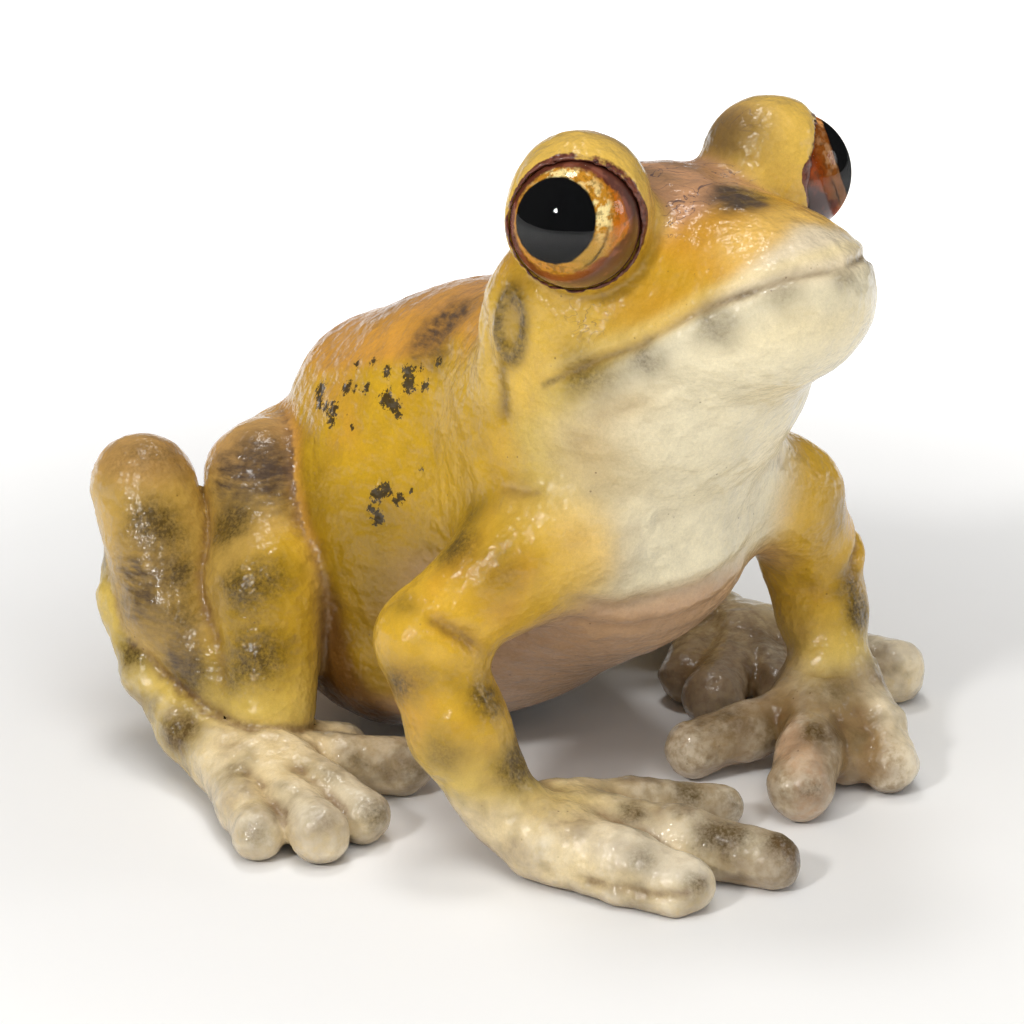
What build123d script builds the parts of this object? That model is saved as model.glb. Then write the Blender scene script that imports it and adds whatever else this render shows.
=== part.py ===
from build123d import *
from math import cos, sin, radians
import os

os.makedirs("parts", exist_ok=True)

# ---------------------------------------------------------------- driving dimensions, mm
SHIFT_X = 0.75         # moves the sculptor's mid-plane so that the bounding box is centred
SHIFT_Y = -3.81
GLUE = 0.08            # glue line between a limb casting and the body casting
GROUND = 0.0           # the feet are ground flat on this plane

EYE_X, EYE_Y, EYE_Z = 17.7, -19.2, 75.6
EYE_R = 8.0            # outer radius of the glass dome and of the back of the eyeball
IRIS_R = 7.2           # radius of the painted front of the eyeball
LENS_GAP = 0.05
SOCKET_R = 8.06
EYE_STEP = 1.0         # the dome stands on a step this far in front of the ball's centre
BROW_R = 8.7

PIN_R = 1.25           # shoulder and hip pins, steel
FOOT_PIN_R = 0.9
PIN_GAP = 0.04

HOLE_R = 5.0           # pour hole under the belly
HOLE_Y = 18.5
PLUG_HEAD_R = 6.5
PLUG_HEAD_Z = 3.45
PLUG_SHOULDER_Z = 4.75
PLUG_TOP_Z = 9.0

# body stations: y, centre height, half width, half height
BODY = [
    (52.8, 25.2, 2.2, 1.5),
    (52.0, 25.3, 6.4, 4.6),
    (50.0, 25.6, 10.4, 7.4),
    (46.0, 26.8, 13.9, 10.6),
    (40.0, 30.4, 15.6, 16.6),
    (32.0, 29.4, 18.6, 22.6),
    (24.0, 29.5, 21.6, 26.0),
    (14.0, 31.1, 22.0, 27.9),
    (4.0, 34.8, 20.4, 28.8),
    (-6.0, 44.2, 20.8, 31.2),
    (-14.0, 48.2, 20.6, 30.4),
    (-20.0, 51.4, 18.8, 27.2),
    (-26.0, 58.6, 16.9, 18.8),
    (-32.0, 64.2, 14.6, 12.2),
    (-38.0, 66.3, 10.7, 8.2),
    (-42.0, 67.0, 6.3, 4.9),
    (-43.6, 67.0, 2.6, 2.0),
]

# hollow inside the body casting, same columns
HOLLOW = [
    (44.0, 27.5, 9.0, 6.5),
    (37.0, 29.5, 12.6, 12.6),
    (26.0, 29.5, 17.3, 20.6),
    (14.0, 31.2, 18.2, 23.6),
    (4.0, 35.0, 16.4, 24.0),
    (-6.0, 44.0, 16.6, 24.6),
    (-13.0, 49.4, 16.2, 22.0),
    (-20.0, 56.5, 14.0, 15.2),
    (-26.0, 62.0, 11.8, 9.2),
    (-32.0, 65.0, 8.4, 5.6),
]

# limb stations: x, y, z, radius, in the sculptor's coordinates
UPPER_ARM_RIGHT = [(-13, -14, 38, 8.4), (-20, -10.5, 33.5, 6.8), (-25, -8.6, 30.2, 6.2), (-29.3, -7.2, 27.2, 5.7)]
FOREARM_RIGHT = [(-29.8, -7.4, 26, 5.9), (-29.3, -11.5, 16.5, 5.5), (-27, -15.5, 9.2, 4.8), (-25.2, -19.5, 5.6, 4.6)]
PALM_RIGHT = [(-26.0, -14.6, 5.4, 3.9), (-24.2, -20.0, 4.5, 4.7), (-22.6, -26.0, 4.0, 4.2)]
FINGERS_RIGHT = [
    [(-24.8, -22, 4.4, 4.1), (-22.6, -32, 3.6, 3.6), (-20.6, -39.2, 3.1, 3.2)],
    [(-27.2, -21, 2.4, 2.2), (-24.8, -33, 1.7, 1.8), (-22.9, -39.4, 1.4, 1.5)],
    [(-19.0, -21.5, 4.6, 3.8), (-13.6, -33, 3.9, 3.7), (-9.2, -42.0, 3.1, 3.2)],
    [(-20.0, -17.5, 5.0, 3.4), (-10, -21.5, 4.0, 2.8), (-1.8, -28.0, 2.6, 2.75)],
]
PALM_RIGHT_WIDE = 1.30

UPPER_ARM_LEFT = [(12, -14, 38, 8.4), (20, -16.0, 34.4, 6.6), (25.5, -16.2, 29, 6.1), (28.8, -15.6, 24.3, 5.8)]
FOREARM_LEFT = [(28.9, -15.9, 22.6, 6.0), (28.2, -18, 17.3, 5.5), (26.2, -21.3, 12.2, 4.9), (24.4, -23.4, 8.8, 4.7)]
PALM_LEFT = [(25.0, -18.6, 7.6, 3.9), (22.4, -23.5, 6.2, 4.9), (19.6, -28.2, 4.8, 4.1)]
FINGERS_LEFT = [
    [(21, -22.5, 6.6, 3.8), (13, -18.8, 4.9, 3.3), (6.6, -16.2, 3.3, 3.5)],
    [(20, -25, 6.6, 4.0), (13, -29.5, 4.9, 3.8), (7.2, -33.0, 3.7, 3.9)],
    [(22, -25.5, 5.8, 3.8), (20, -28.6, 4.4, 3.5), (18.3, -31.2, 3.3, 3.4)],
    [(26.6, -24, 8.2, 4.0), (24.5, -30.5, 5.2, 3.4), (21.0, -35.6, 3.1, 3.3)],
]
PALM_LEFT_WIDE = 1.30

THIGH_RIGHT = [(-11, 38, 32, 7.6), (-18.5, 35, 33.0, 6.7), (-24, 29, 27, 6.8), (-27.8, 24, 17.5, 6.7), (-29.8, 21.6, 9.8, 6.0)]
SHANK_RIGHT = [(-30.8, 24.6, 9.4, 5.4), (-31.6, 30, 13.8, 6.0), (-32.0, 36, 19.6, 6.3), (-31, 40.5, 26.5, 6.2), (-29.8, 43.8, 32.0, 5.8)]
TARSUS_RIGHT = [(-31.4, 46.2, 26.5, 3.0), (-34.3, 42.0, 19, 3.2), (-36.2, 35.5, 11.5, 3.3), (-36.8, 28, 6.6, 3.8), (-37.2, 21, 4.6, 4.1)]
SOLE_RIGHT = [(-37.0, 24.0, 4.4, 3.8), (-36.2, 17.0, 4.3, 4.6), (-35.6, 10.6, 4.0, 3.8)]
TOES_RIGHT = [
    [(-39.0, 19.5, 4.4, 3.3), (-43.4, 11, 3.5, 2.8), (-46.0, 5.2, 2.9, 3.0)],
    [(-36.6, 16, 5.0, 3.4), (-39.4, 6.5, 3.9, 3.1), (-41.3, -0.4, 3.2, 3.4)],
    [(-34, 15, 5.4, 3.5), (-34.4, 6, 4.1, 3.0), (-34.3, -0.2, 3.0, 3.2)],
    [(-32, 17, 4.6, 3.4), (-27, 11.8, 3.9, 3.4), (-21.6, 6.4, 3.3, 3.5)],
    [(-32, 21, 4.4, 3.2), (-27, 18.5, 3.7, 3.0), (-23.0, 16.2, 3.1, 3.2)],
]
FOOT_PIN_RIGHT = ((-31.6, 34.9, 19.4), (-35.2, 40.5, 16.2))
SOLE_WIDE = 1.35

THIGH_LEFT = [(11, 36, 32, 7.6), (19, 30, 32, 6.7), (24.5, 23, 26.5, 6.8), (29.6, 15.6, 17.5, 6.7), (32.8, 11.2, 9.8, 6.0)]
SHANK_LEFT = [(33.8, 14.6, 9.4, 5.4), (34.9, 20, 13.2, 6.0), (35.5, 25.5, 18.6, 6.3), (34.6, 30, 25.4, 6.2), (33.5, 33.8, 30.8, 5.8)]
TARSUS_LEFT = [(35.3, 36.4, 25.6, 3.0), (38.0, 32, 18, 3.2), (39.8, 25, 11, 3.3), (40.2, 17.5, 6.4, 3.8), (40, 10.6, 4.6, 4.1)]
SOLE_LEFT = [(39.4, 12.0, 4.4, 3.8), (37.8, 4.5, 4.3, 4.6), (36.6, -2.6, 4.0, 3.8)]
TOES_LEFT = [
    [(41, 4, 4.4, 3.3), (43.3, -9, 4.1, 3.0), (43.4, -18.2, 3.9, 4.1)],
    [(38, 2, 5.0, 3.4), (38, -6, 3.9, 3.1), (37, -12.5, 3.2, 3.4)],
    [(35, 1, 5.4, 3.5), (32, -6, 4.1, 3.0), (29, -11, 3.0, 3.2)],
    [(34, 1, 4.6, 3.4), (27, -4, 4.1, 3.4), (20.4, -7.2, 3.6, 3.8)],
    [(33, 6, 4.6, 3.2), (28, 3, 4.1, 3.0), (24.0, 0.6, 3.4, 3.5)],
]
FOOT_PIN_LEFT = ((35.1, 24.4, 18.4), (38.9, 30.4, 15.3))

SHOULDER_PIN_RIGHT = ((-25.4, -9.0, 30.6), (-13.4, -13.2, 36.7))
SHOULDER_PIN_LEFT = ((24.6, -16.3, 30.4), (12.8, -13.6, 37.0))
HIP_PIN_RIGHT = ((-22.8, 31.0, 28.6), (-9.6, 36.6, 32.2))
HIP_PIN_LEFT = ((23.0, 25.6, 28.4), (10.8, 32.0, 31.8))

GAZE_RIGHT = (-0.498 - 0.300, -0.498, 0.342)
GAZE_LEFT = (0.665, -0.665, 0.342)


# ---------------------------------------------------------------- helpers
def at(x, y, z):
    return Vector(x + SHIFT_X, y + SHIFT_Y, z)


def body_ring(y, zc, half_w, half_h, grow=0.0):
    """Plane of a body station and the points of its oval outline, right half then left half."""
    plane = Plane(origin=at(0, y, zc), x_dir=(1, 0, 0), z_dir=(0, -1, 0))
    points = []
    for k in range(17):
        t = radians(22.5 * k - 90)
        points.append(((half_w + grow) * cos(t), (half_h + grow) * sin(t)))
    return plane, points[:9], points[8:]


def limb_rings(stations, wide=1.0, up=(0, 0, 1), grow=0.0):
    """Planes and radii of a round limb through the stations, closed by rounded ends."""
    centres = [at(s[0], s[1], s[2]) for s in stations]
    radii = [s[3] + grow for s in stations]
    last = len(centres) - 1
    along = []
    for i in range(last + 1):
        a = centres[max(i - 1, 0)]
        b = centres[min(i + 1, last)]
        along.append((b - a).normalized())
    rings = []
    for angle in (78, 48, 22):
        a = radians(angle)
        rings.append((centres[0] - along[0] * radii[0] * sin(a), along[0], radii[0] * cos(a)))
    for i in range(last + 1):
        rings.append((centres[i], along[i], radii[i]))
    for angle in (22, 48, 78):
        a = radians(angle)
        rings.append((centres[last] + along[last] * radii[last] * sin(a), along[last], radii[last] * cos(a)))
    out = []
    side = Vector(*up).cross(rings[0][1]).normalized()
    for centre, direction, radius in rings:
        side = (side - direction * side.dot(direction)).normalized()
        out.append((Plane(origin=centre, x_dir=side, z_dir=direction), radius * wide, radius))
    return out


def rod(ends, radius, mode=Mode.ADD):
    a, b = at(*ends[0]), at(*ends[1])
    with Locations(Plane(origin=(a + b) * 0.5, z_dir=(b - a).normalized()).location):
        Cylinder(radius, (b - a).length, mode=mode)


def ground_cut():
    with Locations((0, 0, GROUND - 10)):
        Box(220, 220, 20, mode=Mode.SUBTRACT)


# ---------------------------------------------------------------- body casting
with BuildPart() as hollow:
    for station in HOLLOW:
        ring_plane, right_half, left_half = body_ring(*station, grow=0.0)
        with BuildSketch(ring_plane):
            with BuildLine():
                Spline(*right_half, tangents=((1, 0), (-1, 0)))
                Spline(*left_half, tangents=((-1, 0), (1, 0)))
            make_face()
    loft()
    for side in (-1, 1):
        with Locations(at(side * EYE_X, EYE_Y, EYE_Z)):
            Sphere(SOCKET_R + 3.0, mode=Mode.SUBTRACT)

with BuildPart() as body_envelope:
    for station in BODY:
        ring_plane, right_half, left_half = body_ring(*station, grow=GLUE)
        with BuildSketch(ring_plane):
            with BuildLine():
                Spline(*right_half, tangents=((1, 0), (-1, 0)))
                Spline(*left_half, tangents=((-1, 0), (1, 0)))
            make_face()
    loft()

with BuildPart() as torso_shell:
    for station in BODY:
        ring_plane, right_half, left_half = body_ring(*station, grow=0.0)
        with BuildSketch(ring_plane):
            with BuildLine():
                Spline(*right_half, tangents=((1, 0), (-1, 0)))
                Spline(*left_half, tangents=((-1, 0), (1, 0)))
            make_face()
    loft()
    for side in (-1, 1):
        with Locations(at(side * (EYE_X - 2.7), EYE_Y + 0.4, EYE_Z + 1.3)):
            Sphere(BROW_R)
    add(hollow.part, mode=Mode.SUBTRACT)
    for side in (-1, 1):
        with Locations(at(side * EYE_X, EYE_Y, EYE_Z)):
            Sphere(SOCKET_R, mode=Mode.SUBTRACT)
    with Locations(at(0, HOLE_Y, 5.0)):
        Cylinder(HOLE_R, 14, mode=Mode.SUBTRACT)
    with Locations(at(0, HOLE_Y, PLUG_SHOULDER_Z - 5)):
        Cylinder(PLUG_HEAD_R + 0.05, 10, mode=Mode.SUBTRACT)
    for ends in (SHOULDER_PIN_RIGHT, SHOULDER_PIN_LEFT, HIP_PIN_RIGHT, HIP_PIN_LEFT):
        rod(ends, PIN_R + PIN_GAP, mode=Mode.SUBTRACT)
torso_shell.part.label = "torso_shell"
export_step(torso_shell.part, "parts/torso_shell.step")

with BuildPart() as pour_plug:
    with Locations(at(0, HOLE_Y, (PLUG_HEAD_Z + PLUG_SHOULDER_Z) / 2)):
        Cylinder(PLUG_HEAD_R, PLUG_SHOULDER_Z - PLUG_HEAD_Z)
    with Locations(at(0, HOLE_Y, (PLUG_SHOULDER_Z + PLUG_TOP_Z) / 2)):
        Cylinder(HOLE_R - 0.05, PLUG_TOP_Z - PLUG_SHOULDER_Z)
pour_plug.part.label = "pour_plug"
export_step(pour_plug.part, "parts/pour_plug.step")


# ---------------------------------------------------------------- forelimbs
with BuildPart() as forelimb_right:
    for ring_plane, ring_w, ring_h in limb_rings(UPPER_ARM_RIGHT):
        with BuildSketch(ring_plane):
            Ellipse(ring_w, ring_h)
    loft()
    for ring_plane, ring_w, ring_h in limb_rings(FOREARM_RIGHT, up=(0, 1, 0)):
        with BuildSketch(ring_plane):
            Ellipse(ring_w, ring_h)
    loft()
    for ring_plane, ring_w, ring_h in limb_rings(PALM_RIGHT, wide=PALM_RIGHT_WIDE):
        with BuildSketch(ring_plane):
            Ellipse(ring_w, ring_h)
    loft()
    for finger in FINGERS_RIGHT:
        for ring_plane, ring_w, ring_h in limb_rings(finger):
            with BuildSketch(ring_plane):
                Ellipse(ring_w, ring_h)
        loft()
    add(body_envelope.part, mode=Mode.SUBTRACT)
    rod(SHOULDER_PIN_RIGHT, PIN_R + PIN_GAP, mode=Mode.SUBTRACT)
    ground_cut()
forelimb_right.part.label = "forelimb_right"
export_step(forelimb_right.part, "parts/forelimb_right.step")

with BuildPart() as forelimb_left:
    for ring_plane, ring_w, ring_h in limb_rings(UPPER_ARM_LEFT, up=(0, 1, 0)):
        with BuildSketch(ring_plane):
            Ellipse(ring_w, ring_h)
    loft()
    for ring_plane, ring_w, ring_h in limb_rings(FOREARM_LEFT, up=(0, 1, 0)):
        with BuildSketch(ring_plane):
            Ellipse(ring_w, ring_h)
    loft()
    for ring_plane, ring_w, ring_h in limb_rings(PALM_LEFT, wide=PALM_LEFT_WIDE):
        with BuildSketch(ring_plane):
            Ellipse(ring_w, ring_h)
    loft()
    for finger in FINGERS_LEFT:
        for ring_plane, ring_w, ring_h in limb_rings(finger):
            with BuildSketch(ring_plane):
                Ellipse(ring_w, ring_h)
        loft()
    add(body_envelope.part, mode=Mode.SUBTRACT)
    rod(SHOULDER_PIN_LEFT, PIN_R + PIN_GAP, mode=Mode.SUBTRACT)
    ground_cut()
forelimb_left.part.label = "forelimb_left"
export_step(forelimb_left.part, "parts/forelimb_left.step")


# ---------------------------------------------------------------- hind legs
with BuildPart() as leg_envelope_right:
    for ring_plane, ring_w, ring_h in limb_rings(THIGH_RIGHT, grow=GLUE, up=(0, 1, 0)):
        with BuildSketch(ring_plane):
            Ellipse(ring_w, ring_h)
    loft()
    for ring_plane, ring_w, ring_h in limb_rings(SHANK_RIGHT, grow=GLUE, up=(0, 1, 0)):
        with BuildSketch(ring_plane):
            Ellipse(ring_w, ring_h)
    loft()

with BuildPart() as hind_leg_right:
    for ring_plane, ring_w, ring_h in limb_rings(THIGH_RIGHT, up=(0, 1, 0)):
        with BuildSketch(ring_plane):
            Ellipse(ring_w, ring_h)
    loft()
    for ring_plane, ring_w, ring_h in limb_rings(SHANK_RIGHT, up=(0, 1, 0)):
        with BuildSketch(ring_plane):
            Ellipse(ring_w, ring_h)
    loft()
    add(body_envelope.part, mode=Mode.SUBTRACT)
    rod(HIP_PIN_RIGHT, PIN_R + PIN_GAP, mode=Mode.SUBTRACT)
    rod(FOOT_PIN_RIGHT, FOOT_PIN_R + PIN_GAP, mode=Mode.SUBTRACT)
hind_leg_right.part.label = "hind_leg_right"
export_step(hind_leg_right.part, "parts/hind_leg_right.step")

with BuildPart() as hind_foot_right:
    for ring_plane, ring_w, ring_h in limb_rings(TARSUS_RIGHT, up=(0, 1, 0)):
        with BuildSketch(ring_plane):
            Ellipse(ring_w, ring_h)
    loft()
    for ring_plane, ring_w, ring_h in limb_rings(SOLE_RIGHT, wide=SOLE_WIDE):
        with BuildSketch(ring_plane):
            Ellipse(ring_w, ring_h)
    loft()
    for toe in TOES_RIGHT:
        for ring_plane, ring_w, ring_h in limb_rings(toe):
            with BuildSketch(ring_plane):
                Ellipse(ring_w, ring_h)
        loft()
    add(leg_envelope_right.part, mode=Mode.SUBTRACT)
    rod(FOOT_PIN_RIGHT, FOOT_PIN_R + PIN_GAP, mode=Mode.SUBTRACT)
    ground_cut()
hind_foot_right.part.label = "hind_foot_right"
export_step(hind_foot_right.part, "parts/hind_foot_right.step")

with BuildPart() as leg_envelope_left:
    for ring_plane, ring_w, ring_h in limb_rings(THIGH_LEFT, grow=GLUE, up=(0, 1, 0)):
        with BuildSketch(ring_plane):
            Ellipse(ring_w, ring_h)
    loft()
    for ring_plane, ring_w, ring_h in limb_rings(SHANK_LEFT, grow=GLUE, up=(0, 1, 0)):
        with BuildSketch(ring_plane):
            Ellipse(ring_w, ring_h)
    loft()

with BuildPart() as hind_leg_left:
    for ring_plane, ring_w, ring_h in limb_rings(THIGH_LEFT, up=(0, 1, 0)):
        with BuildSketch(ring_plane):
            Ellipse(ring_w, ring_h)
    loft()
    for ring_plane, ring_w, ring_h in limb_rings(SHANK_LEFT, up=(0, 1, 0)):
        with BuildSketch(ring_plane):
            Ellipse(ring_w, ring_h)
    loft()
    add(body_envelope.part, mode=Mode.SUBTRACT)
    rod(HIP_PIN_LEFT, PIN_R + PIN_GAP, mode=Mode.SUBTRACT)
    rod(FOOT_PIN_LEFT, FOOT_PIN_R + PIN_GAP, mode=Mode.SUBTRACT)
hind_leg_left.part.label = "hind_leg_left"
export_step(hind_leg_left.part, "parts/hind_leg_left.step")

with BuildPart() as hind_foot_left:
    for ring_plane, ring_w, ring_h in limb_rings(TARSUS_LEFT, up=(0, 1, 0)):
        with BuildSketch(ring_plane):
            Ellipse(ring_w, ring_h)
    loft()
    for ring_plane, ring_w, ring_h in limb_rings(SOLE_LEFT, wide=SOLE_WIDE):
        with BuildSketch(ring_plane):
            Ellipse(ring_w, ring_h)
    loft()
    for toe in TOES_LEFT:
        for ring_plane, ring_w, ring_h in limb_rings(toe):
            with BuildSketch(ring_plane):
                Ellipse(ring_w, ring_h)
        loft()
    add(leg_envelope_left.part, mode=Mode.SUBTRACT)
    rod(FOOT_PIN_LEFT, FOOT_PIN_R + PIN_GAP, mode=Mode.SUBTRACT)
    ground_cut()
hind_foot_left.part.label = "hind_foot_left"
export_step(hind_foot_left.part, "parts/hind_foot_left.step")


# ---------------------------------------------------------------- steel pins
with BuildPart() as shoulder_pin_right:
    rod(SHOULDER_PIN_RIGHT, PIN_R)
shoulder_pin_right.part.label = "shoulder_pin_right"
export_step(shoulder_pin_right.part, "parts/shoulder_pin_right.step")

with BuildPart() as shoulder_pin_left:
    rod(SHOULDER_PIN_LEFT, PIN_R)
shoulder_pin_left.part.label = "shoulder_pin_left"
export_step(shoulder_pin_left.part, "parts/shoulder_pin_left.step")

with BuildPart() as hip_pin_right:
    rod(HIP_PIN_RIGHT, PIN_R)
hip_pin_right.part.label = "hip_pin_right"
export_step(hip_pin_right.part, "parts/hip_pin_right.step")

with BuildPart() as hip_pin_left:
    rod(HIP_PIN_LEFT, PIN_R)
hip_pin_left.part.label = "hip_pin_left"
export_step(hip_pin_left.part, "parts/hip_pin_left.step")

with BuildPart() as foot_pin_right:
    rod(FOOT_PIN_RIGHT, FOOT_PIN_R)
foot_pin_right.part.label = "foot_pin_right"
export_step(foot_pin_right.part, "parts/foot_pin_right.step")

with BuildPart() as foot_pin_left:
    rod(FOOT_PIN_LEFT, FOOT_PIN_R)
foot_pin_left.part.label = "foot_pin_left"
export_step(foot_pin_left.part, "parts/foot_pin_left.step")


# ---------------------------------------------------------------- eyes
EYE_PLANE_RIGHT = Plane(origin=at(-EYE_X, EYE_Y, EYE_Z), z_dir=GAZE_RIGHT)
EYE_PLANE_LEFT = Plane(origin=at(EYE_X, EYE_Y, EYE_Z), z_dir=GAZE_LEFT)

with BuildPart(EYE_PLANE_RIGHT) as eyeball_right:
    Sphere(EYE_R)
    with Locations((0, 0, EYE_STEP + 10)):
        Cylinder(12, 20, mode=Mode.SUBTRACT)
    Sphere(IRIS_R)
eyeball_right.part.label = "eyeball_right"
export_step(eyeball_right.part, "parts/eyeball_right.step")

with BuildPart(EYE_PLANE_LEFT) as eyeball_left:
    Sphere(EYE_R)
    with Locations((0, 0, EYE_STEP + 10)):
        Cylinder(12, 20, mode=Mode.SUBTRACT)
    Sphere(IRIS_R)
eyeball_left.part.label = "eyeball_left"
export_step(eyeball_left.part, "parts/eyeball_left.step")

with BuildPart(EYE_PLANE_RIGHT) as eye_lens_right:
    Sphere(EYE_R)
    Sphere(IRIS_R + LENS_GAP, mode=Mode.SUBTRACT)
    with Locations((0, 0, EYE_STEP + LENS_GAP - 10)):
        Cylinder(12, 20, mode=Mode.SUBTRACT)
eye_lens_right.part.label = "eye_lens_right"
export_step(eye_lens_right.part, "parts/eye_lens_right.step")

with BuildPart(EYE_PLANE_LEFT) as eye_lens_left:
    Sphere(EYE_R)
    Sphere(IRIS_R + LENS_GAP, mode=Mode.SUBTRACT)
    with Locations((0, 0, EYE_STEP + LENS_GAP - 10)):
        Cylinder(12, 20, mode=Mode.SUBTRACT)
eye_lens_left.part.label = "eye_lens_left"
export_step(eye_lens_left.part, "parts/eye_lens_left.step")
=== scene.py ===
"""Painted cast figurine of a sitting tree frog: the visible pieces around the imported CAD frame.

The skin of the castings is sculpted as one smooth distance field, in millimetres, in sculpt coordinates:
+Z up, ground at z = 0, the frog looking along -Y. It is meshed, detailed along its normals, painted per vertex,
and then divided into one closed piece per casting, so that no seam shows in the paint.
"""
import math
import bpy
import numpy as np
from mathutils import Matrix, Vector


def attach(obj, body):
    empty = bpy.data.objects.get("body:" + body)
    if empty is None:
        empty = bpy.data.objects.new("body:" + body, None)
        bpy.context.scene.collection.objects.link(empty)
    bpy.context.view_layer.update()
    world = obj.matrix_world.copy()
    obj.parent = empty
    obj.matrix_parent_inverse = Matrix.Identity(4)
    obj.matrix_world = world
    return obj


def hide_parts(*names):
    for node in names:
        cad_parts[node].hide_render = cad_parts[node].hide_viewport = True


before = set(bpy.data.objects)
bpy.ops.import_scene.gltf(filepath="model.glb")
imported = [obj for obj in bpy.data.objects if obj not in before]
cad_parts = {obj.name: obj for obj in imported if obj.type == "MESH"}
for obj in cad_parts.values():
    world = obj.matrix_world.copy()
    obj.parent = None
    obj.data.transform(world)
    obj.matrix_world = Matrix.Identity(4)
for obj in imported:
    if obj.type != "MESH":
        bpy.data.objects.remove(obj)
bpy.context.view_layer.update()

SHIFT = np.array([0.75, -3.81, 0.0])          # sculpt coordinates to the row frame, mm
STEP = 0.5             # sculpting grid, mm
EYES = {-1: np.array([-17.88, -18.76, 76.1]), 1: np.array([17.9, -19.3, 75.5])}
EYE_R = 7.3
LID = {s: np.array([s * 0.719, -0.691, 0.071]) for s in (-1, 1)}       # the way each eye opening faces
LID_RISE = 1.5                                # the opening's height above the eye's centre, mm
CORNER = {s: np.array([s * 13.7, -25.7, 77.0]) for s in (-1, 1)}        # its front corner
F = np.float32

# ------------------------------------------------------------------ distance fields


def smin(a, b, k):
    if k <= 0:
        return np.minimum(a, b)
    h = np.maximum(k - np.abs(a - b), 0) / k
    return np.minimum(a, b) - h * h * k * F(0.25)


def smax(a, b, k):
    return -smin(-a, -b, k)


def rot(rx=0, ry=0, rz=0):
    rx, ry, rz = np.radians([rx, ry, rz])
    cx, sx, cy, sy, cz, sz = np.cos(rx), np.sin(rx), np.cos(ry), np.sin(ry), np.cos(rz), np.sin(rz)
    x = np.array([[1, 0, 0], [0, cx, -sx], [0, sx, cx]])
    y = np.array([[cy, 0, sy], [0, 1, 0], [-sy, 0, cy]])
    z = np.array([[cz, -sz, 0], [sz, cz, 0], [0, 0, 1]])
    return z @ y @ x


class Ell:
    """A turned ellipsoid."""

    def __init__(s, c, r, turn=None, k=3.0):
        s.c, s.r, s.k = np.array(c, F), np.array(r, F), F(k)
        s.turn = (np.eye(3) if turn is None else turn).astype(F)
        s.mid, s.reach = s.c.astype(float), float(max(r))

    def d(s, p):
        q = (p - s.c) @ s.turn
        a = q / s.r
        b = a / s.r
        k0 = np.sqrt((a * a).sum(1))
        k1 = np.sqrt((b * b).sum(1)) + F(1e-9)
        return (k0 * (k0 - 1) / k1).astype(F)


class Cone:
    """A round-ended cone from a to b."""

    def __init__(s, a, b, ra, rb, k=3.0):
        s.a, s.b, s.ra, s.rb, s.k = np.array(a, F), np.array(b, F), F(ra), F(rb), F(k)
        s.mid = ((s.a + s.b) / 2).astype(float)
        s.reach = float(np.linalg.norm(s.b - s.a) / 2 + max(ra, rb))

    def d(s, p):
        ba = s.b - s.a
        l2 = float(ba @ ba)
        rr = float(s.ra - s.rb)
        a2 = l2 - rr * rr
        il2 = 1 / max(l2, 1e-9)
        pa = p - s.a
        y = pa @ ba
        z = y - l2
        x = pa * F(l2) - y[:, None] * ba
        x2 = (x * x).sum(1)
        y2, z2 = y * y * l2, z * z * l2
        k = np.sign(rr) * rr * rr * x2
        o = (np.sqrt(np.maximum(x2 * a2 * il2, 0)) + y * rr) * il2 - s.ra
        far = np.sign(z) * a2 * z2 > k
        near = np.sign(y) * a2 * y2 < k
        o = np.where(far, np.sqrt(x2 + z2) * il2 - s.rb, np.where(near, np.sqrt(x2 + y2) * il2 - s.ra, o))
        return o.astype(F)


class Cup:
    """A ball cut off flat in front: the lid an eyeball sits in."""

    def __init__(s, c, axis, radius, rise, k):
        s.c, s.axis, s.radius, s.rise, s.k = np.array(c, F), np.array(axis, F), F(radius), F(rise), F(k)
        s.mid, s.reach = s.c.astype(float), float(radius)

    def d(s, p):
        q = p - s.c
        return smax(np.sqrt((q * q).sum(1)) - s.radius, q @ s.axis - s.rise, F(0.5)).astype(F)


def chain(points, k=2.0, first=None):
    return [Cone(a[:3], b[:3], a[3], b[3], k=(first if first is not None and not i else k))
            for i, (a, b) in enumerate(zip(points, points[1:]))]


# ------------------------------------------------------------------ the sculpt


def torso():
    o = [
        Ell((0, 18, 26.5), (22.5, 25, 23.5), rot(-18), 6),
        Ell((0, 4, 20.5), (16, 18, 11), rot(-37), 6),
        Ell((0, -6, 38), (20.5, 18.5, 21), rot(-25), 8),
        Ell((0, 20, 39.5), (16, 20, 14), rot(-20), 8),
        Ell((0, 32.5, 40), (11.5, 9.0, 10.6), rot(-20), 6),
        Ell((0, 12.5, 49.7), (12.5, 18, 9.5), rot(-20), 8),
        Ell((-9.5, 19, 13), (13, 15.5, 10), k=4),
        Ell((9.5, 17, 13), (13, 15, 10), k=4),
        Ell((0, 42, 27), (15, 12, 10), rot(-40), 7),
        Ell((0, -7, 52), (19.0, 13, 13), rot(-15), 8),
        Ell((0, -14, 66.5), (18, 13, 12), rot(10), 6),
        Ell((0, -29.5, 70.3), (11.5, 13.8, 6.8), rot(10), 6),
        Ell((0, -24, 61.5), (17, 18.0, 8.2), rot(-22), 5),
        Ell((0, -33.5, 62.6), (10.5, 9.0, 6.0), rot(-30), 4),
        Ell((0, -17.5, 52), (18, 14, 12), rot(-20), 7),
    ]
    for s in (-1, 1):
        o.append(Ell((s * 15.0, -11, 62), (5, 7, 8), rot(-20, 0, s * -12), 6))
        o.append(Ell(EYES[s] + ((3.2, 2.2, 1.35) if s < 0 else (-2.3, 1.5, 1.65)), (8.03, 8.03, 8.03) if s < 0 else (7.7, 7.7, 7.7), k=2.8))
        o.append(Cup(EYES[s], LID[s], 7.85, LID_RISE, 1.6))
    return o


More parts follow.
